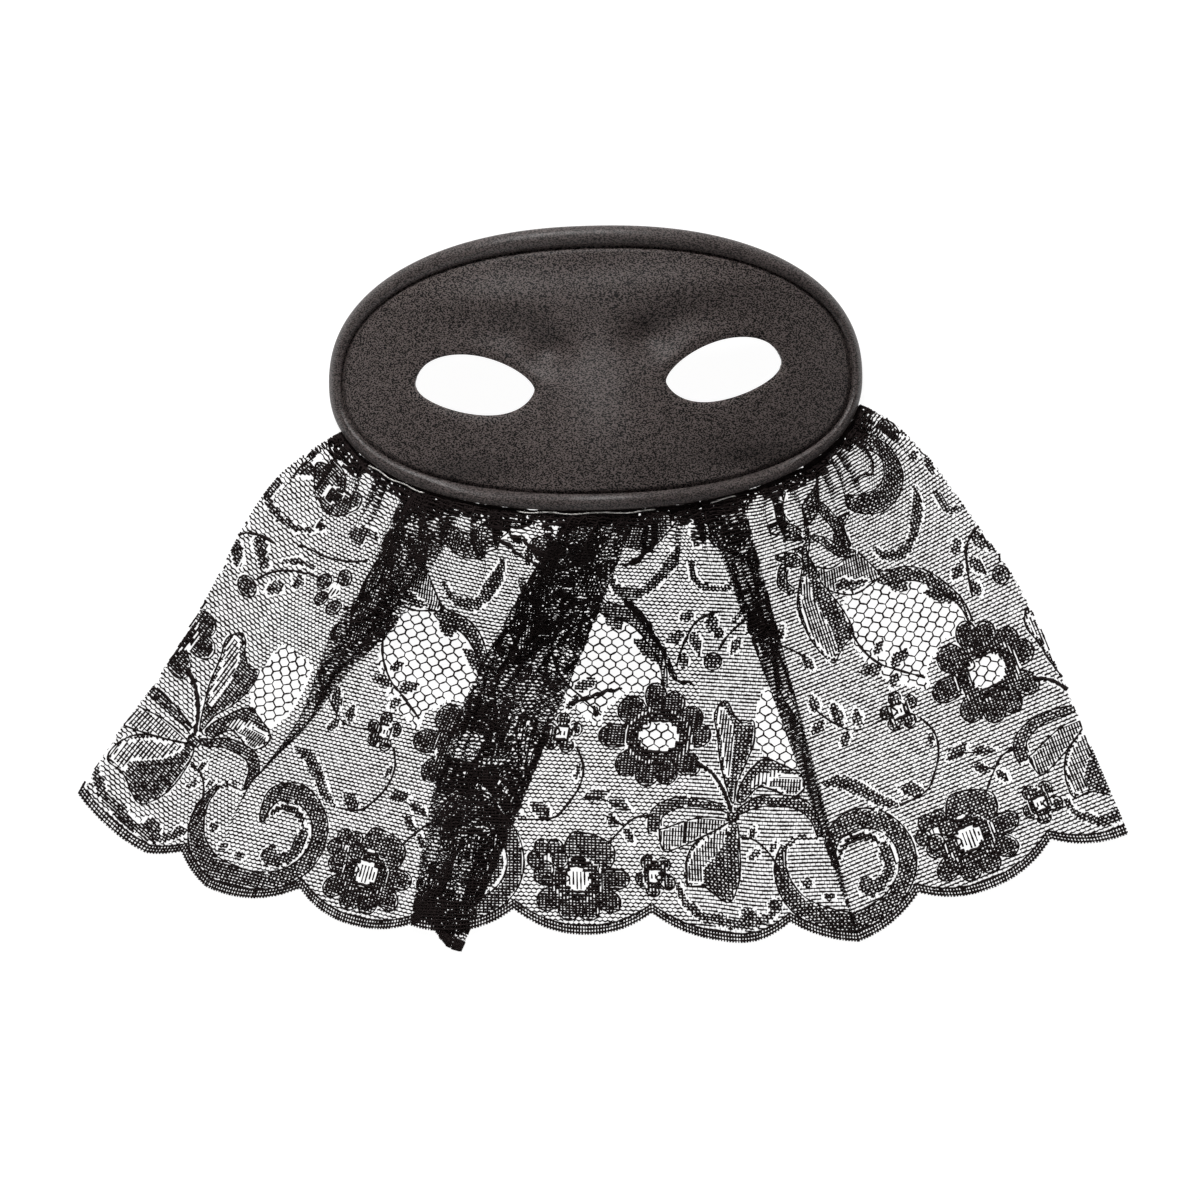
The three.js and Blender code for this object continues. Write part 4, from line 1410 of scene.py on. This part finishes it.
def makeTape():
    # A circle is extruded into one ring for each point of the section, and the rings are then laid
    # round the mask's edge.
    count = tape["steps"]
    angle = roundAngles(count)
    section = tapeSection(angle)
    deselectAll()
    bpy.ops.mesh.primitive_circle_add(vertices=count, radius=1)
    obj = bpy.context.object
    obj.name = "edge_tape"
    obj.data.name = "edge_tape"
    editMode("EDGE")
    bpy.ops.mesh.select_all(action="SELECT")
    for ring in range(1, len(section)):
        bpy.ops.mesh.extrude_region_move()
        bpy.ops.transform.resize(value=((ring + 1) / ring,) * 3)
    objectMode()
    points = getPoints(obj)
    ringOf = np.rint(np.hypot(points[:, 0], points[:, 1])).astype(int) - 1
    turns = np.arctan2(points[:, 1], points[:, 0]) / (2 * math.pi)
    spoke = np.mod(np.rint(turns * count).astype(int), count)
    inset, rise, wall = (np.stack(column)[ringOf, spoke] for column in zip(*section))
    u, v = edgeLocal(angle[spoke], inset)
    height = shellFace(u, v) + rise - wall * wallDrop(u, v)
    x, y = fromMask(u, v)
    setPoints(obj, toRow(x, y, np.maximum(height, 0)))
    # The first and last rings are joined so that the tape is closed all round.
    editMode("EDGE")
    bpy.ops.mesh.select_all(action="DESELECT")
    objectMode()
    for edge in obj.data.edges:
        a, b = (ringOf[i] for i in edge.vertices)
        edge.select = bool(a == b and a in (0, len(section) - 1))
    editMode("EDGE")
    bpy.ops.mesh.bridge_edge_loops()
    bpy.ops.mesh.select_all(action="SELECT")
    bpy.ops.mesh.normals_make_consistent(inside=False)
    objectMode()
    bpy.ops.object.shade_smooth()
    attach(obj, "root")
    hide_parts("edge_binding")
    print("edge tape", len(obj.data.polygons), "faces")
    return obj


coverPiece = makeCover()
tapePiece = makeTape()

# Gathering thread

stitching = {
    "points": 520,
    "clear": 0.95,  # how far outside the mask's edge it runs
    "waver": (0.25, 41),  # sideways, and how fast round the mask
    "radius": 0.23,
    "from": 206,
    "to": 344,
    "wave": 3.4,
    "swing": 0.25,
    "rise": 2.5,  # above the lace's underside where the thread shows
    "hidden": -0.2,  # and where it runs below the lace
    "shown": ((213, 233), (254, 281), (291, 299)),  # degrees round the mask
    "surfacing": 1.5,  # degrees over which it comes up or goes down
    "lowest": 0.4,
}


def threadHeight(angle, lengths):
    rim = np.maximum(shellFace(*edgeLocal(angle, -drape["rimClear"])) - drape["rimDrop"], 0)
    degrees = np.degrees(angle)
    ease = stitching["surfacing"]
    shown = np.zeros_like(angle)
    for start, end in stitching["shown"]:
        up = smooth(degrees, start, start + ease)
        down = smooth(-degrees, -end, ease - end)
        shown = np.maximum(shown, up * down)
    z = rim + blend(stitching["hidden"], stitching["rise"], shown)
    z = z + stitching["swing"] * np.sin(2 * math.pi * lengths / stitching["wave"])
    return np.maximum(z, stitching["lowest"])


def makeStitching():
    # a cord, so it is a curve with thickness, turned into a mesh
    angle = np.radians(np.linspace(stitching["from"], stitching["to"], stitching["points"]))
    waver, count = stitching["waver"]
    x, y = fromMask(*edgeLocal(angle, -stitching["clear"] - waver * np.sin(angle * count)))
    points = toRow(x, y, threadHeight(angle, lengthsAlong(np.stack([x, y], 1))))
    curve = bpy.data.curves.new("gather_stitching", "CURVE")
    curve.dimensions = "3D"
    line = curve.splines.new("POLY")
    line.points.add(len(points) - 1)
    line.points.foreach_set("co", np.concatenate([points, np.ones((len(points), 1))], 1).ravel())
    curve.bevel_depth = stitching["radius"] * mm
    curve.bevel_resolution = 1
    curve.use_fill_caps = True
    obj = bpy.data.objects.new("gather_stitching", curve)
    bpy.context.scene.collection.objects.link(obj)
    chooseOnly(obj)
    bpy.ops.object.convert(target="MESH")
    obj = bpy.context.object
    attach(obj, "root")
    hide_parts("gathering_thread")
    return obj


stitchPiece = makeStitching()
print("mask and stitching made")

# Materials

# The colour of a cloth runs between two shades of itself, shares of the colour given here, with its
# grain. Sharp says how far from the grain's middle value each shade begins.
finishes = {
    "satin": {"color": (0.048, 0.039, 0.037), "roughness": 0.55, "specular": 0.3,
              "shades": (0.0, 3.3), "sharp": 0.02, "grain": (1700, 2700, 1700)},
    "tapeSatin": {"color": (0.056, 0.046, 0.044), "roughness": 0.45, "specular": 0.4,
                  "shades": (0.3, 2.5), "sharp": 0.08, "grain": (1700, 2700, 1700)},
    "lace": {"color": (0.018, 0.0118, 0.0115), "roughness": 0.7, "specular": 0.15,
             "shades": (0.6, 1.8), "sharp": 0.5},
    "thread": {"color": (0.7, 0.68, 0.65), "roughness": 0.75, "sheen": 0.1, "specular": 0.3,
               "shades": (0.6, 1.8), "sharp": 0.5},
    "floor": {"color": (0.25, 0.25, 0.25), "roughness": 0.9, "specular": 0.2},
}
twillDeg = 38  # the satin's weave runs slantwise
weaveBump = {"strength": 0.3, "distance": 0.0003}
fibreScale = 900


def newMaterial(name, finish):
    material = bpy.data.materials.new(name)
    material.use_nodes = True
    nodes = material.node_tree.nodes
    shader = nodes["Principled BSDF"]
    shader.inputs["Base Color"].default_value = (*finish["color"], 1)
    shader.inputs["Roughness"].default_value = finish["roughness"]
    shader.inputs["Sheen Weight"].default_value = finish.get("sheen", 0.0)
    shader.inputs["Specular IOR Level"].default_value = finish["specular"]
    return material, nodes, material.node_tree.links, shader


def shadeByGrain(finish, nodes, links, grain, shader):
    # the colour runs from a darker to a lighter shade of itself with the grain
    ramp = nodes.new("ShaderNodeValToRGB")
    for element, side, shade in zip(ramp.color_ramp.elements, (-1, 1), finish["shades"]):
        element.position = 0.5 + side * finish["sharp"]
        element.color = (*(c * shade for c in finish["color"]), 1)
    links.new(grain.outputs["Fac"], ramp.inputs["Fac"])
    links.new(ramp.outputs["Color"], shader.inputs["Base Color"])


def satinMaterial(name, finish):
    material, nodes, links, shader = newMaterial(name, finish)
    place = nodes.new("ShaderNodeTexCoord")
    weave = nodes.new("ShaderNodeMapping")
    weave.inputs["Rotation"].default_value = (0, 0, math.radians(twillDeg))
    weave.inputs["Scale"].default_value = finish["grain"]
    links.new(place.outputs["Object"], weave.inputs["Vector"])
    grain = nodes.new("ShaderNodeTexNoise")
    grain.inputs["Scale"].default_value = 1
    grain.inputs["Detail"].default_value = 1
    links.new(weave.outputs["Vector"], grain.inputs["Vector"])
    shadeByGrain(finish, nodes, links, grain, shader)
    bump = nodes.new("ShaderNodeBump")
    bump.inputs["Strength"].default_value = weaveBump["strength"]
    bump.inputs["Distance"].default_value = weaveBump["distance"]
    links.new(grain.outputs["Fac"], bump.inputs["Height"])
    links.new(bump.outputs["Normal"], shader.inputs["Normal"])
    return material


def threadMaterial(name, finish):
    material, nodes, links, shader = newMaterial(name, finish)
    place = nodes.new("ShaderNodeTexCoord")
    fibres = nodes.new("ShaderNodeTexNoise")
    fibres.inputs["Scale"].default_value = fibreScale
    links.new(place.outputs["Object"], fibres.inputs["Vector"])
    shadeByGrain(finish, nodes, links, fibres, shader)
    return material


def dress(piece, look):
    piece.data.materials.clear()
    piece.data.materials.append(look)


dress(coverPiece, satinMaterial("satinCloth", finishes["satin"]))
dress(tapePiece, satinMaterial("satinTape", finishes["tapeSatin"]))
laceLook = threadMaterial("blackNylon", finishes["lace"])
for piece in lacePieces:
    dress(piece, laceLook)
dress(stitchPiece, threadMaterial("paleCotton", finishes["thread"]))
print("materials set")

# Floor and light

studio = {
    "floorSize": 6,
    "floorBelow": 0.0004,
    "floorGlow": 0.95,  # the floor is a light table, as under the photograph's white ground
    "world": 0.04,
    "lights": {  # power in watts, place in metres and size
        "overheadLight": (24.0, (0.0, 0.05, 6.8), 0.7),
        "keyLight": (33.0, (-0.4, 1.65, 1.35), 0.45),
        "lowFill": (5.0, (-0.5, -1.6, 1.3), 0.4),
    },
}


def makeStudio():
    deselectAll()
    bpy.ops.mesh.primitive_plane_add(size=studio["floorSize"], location=(0, 0, -studio["floorBelow"]))
    floor = bpy.context.object
    floor.name = "studioFloor"
    material, _, _, shader = newMaterial("paleFloor", finishes["floor"])
    shader.inputs["Emission Color"].default_value = (1, 1, 1, 1)
    shader.inputs["Emission Strength"].default_value = studio["floorGlow"]
    floor.data.materials.append(material)
    for name, (power, place, size) in studio["lights"].items():
        data = bpy.data.lights.new(name, "AREA")
        data.energy = power
        data.size = size
        light = bpy.data.objects.new(name, data)
        light.location = place
        bpy.context.scene.collection.objects.link(light)
        direction = -light.location.normalized()
        light.rotation_euler = direction.to_track_quat("-Z", "Y").to_euler()
    world = bpy.data.worlds.new("studioWorld")
    bpy.context.scene.world = world
    world.use_nodes = True
    background = world.node_tree.nodes["Background"]
    background.inputs["Color"].default_value = (1, 1, 1, 1)
    background.inputs["Strength"].default_value = studio["world"]
    bpy.context.scene.view_settings.view_transform = "Standard"


makeStudio()
print("studio lit")
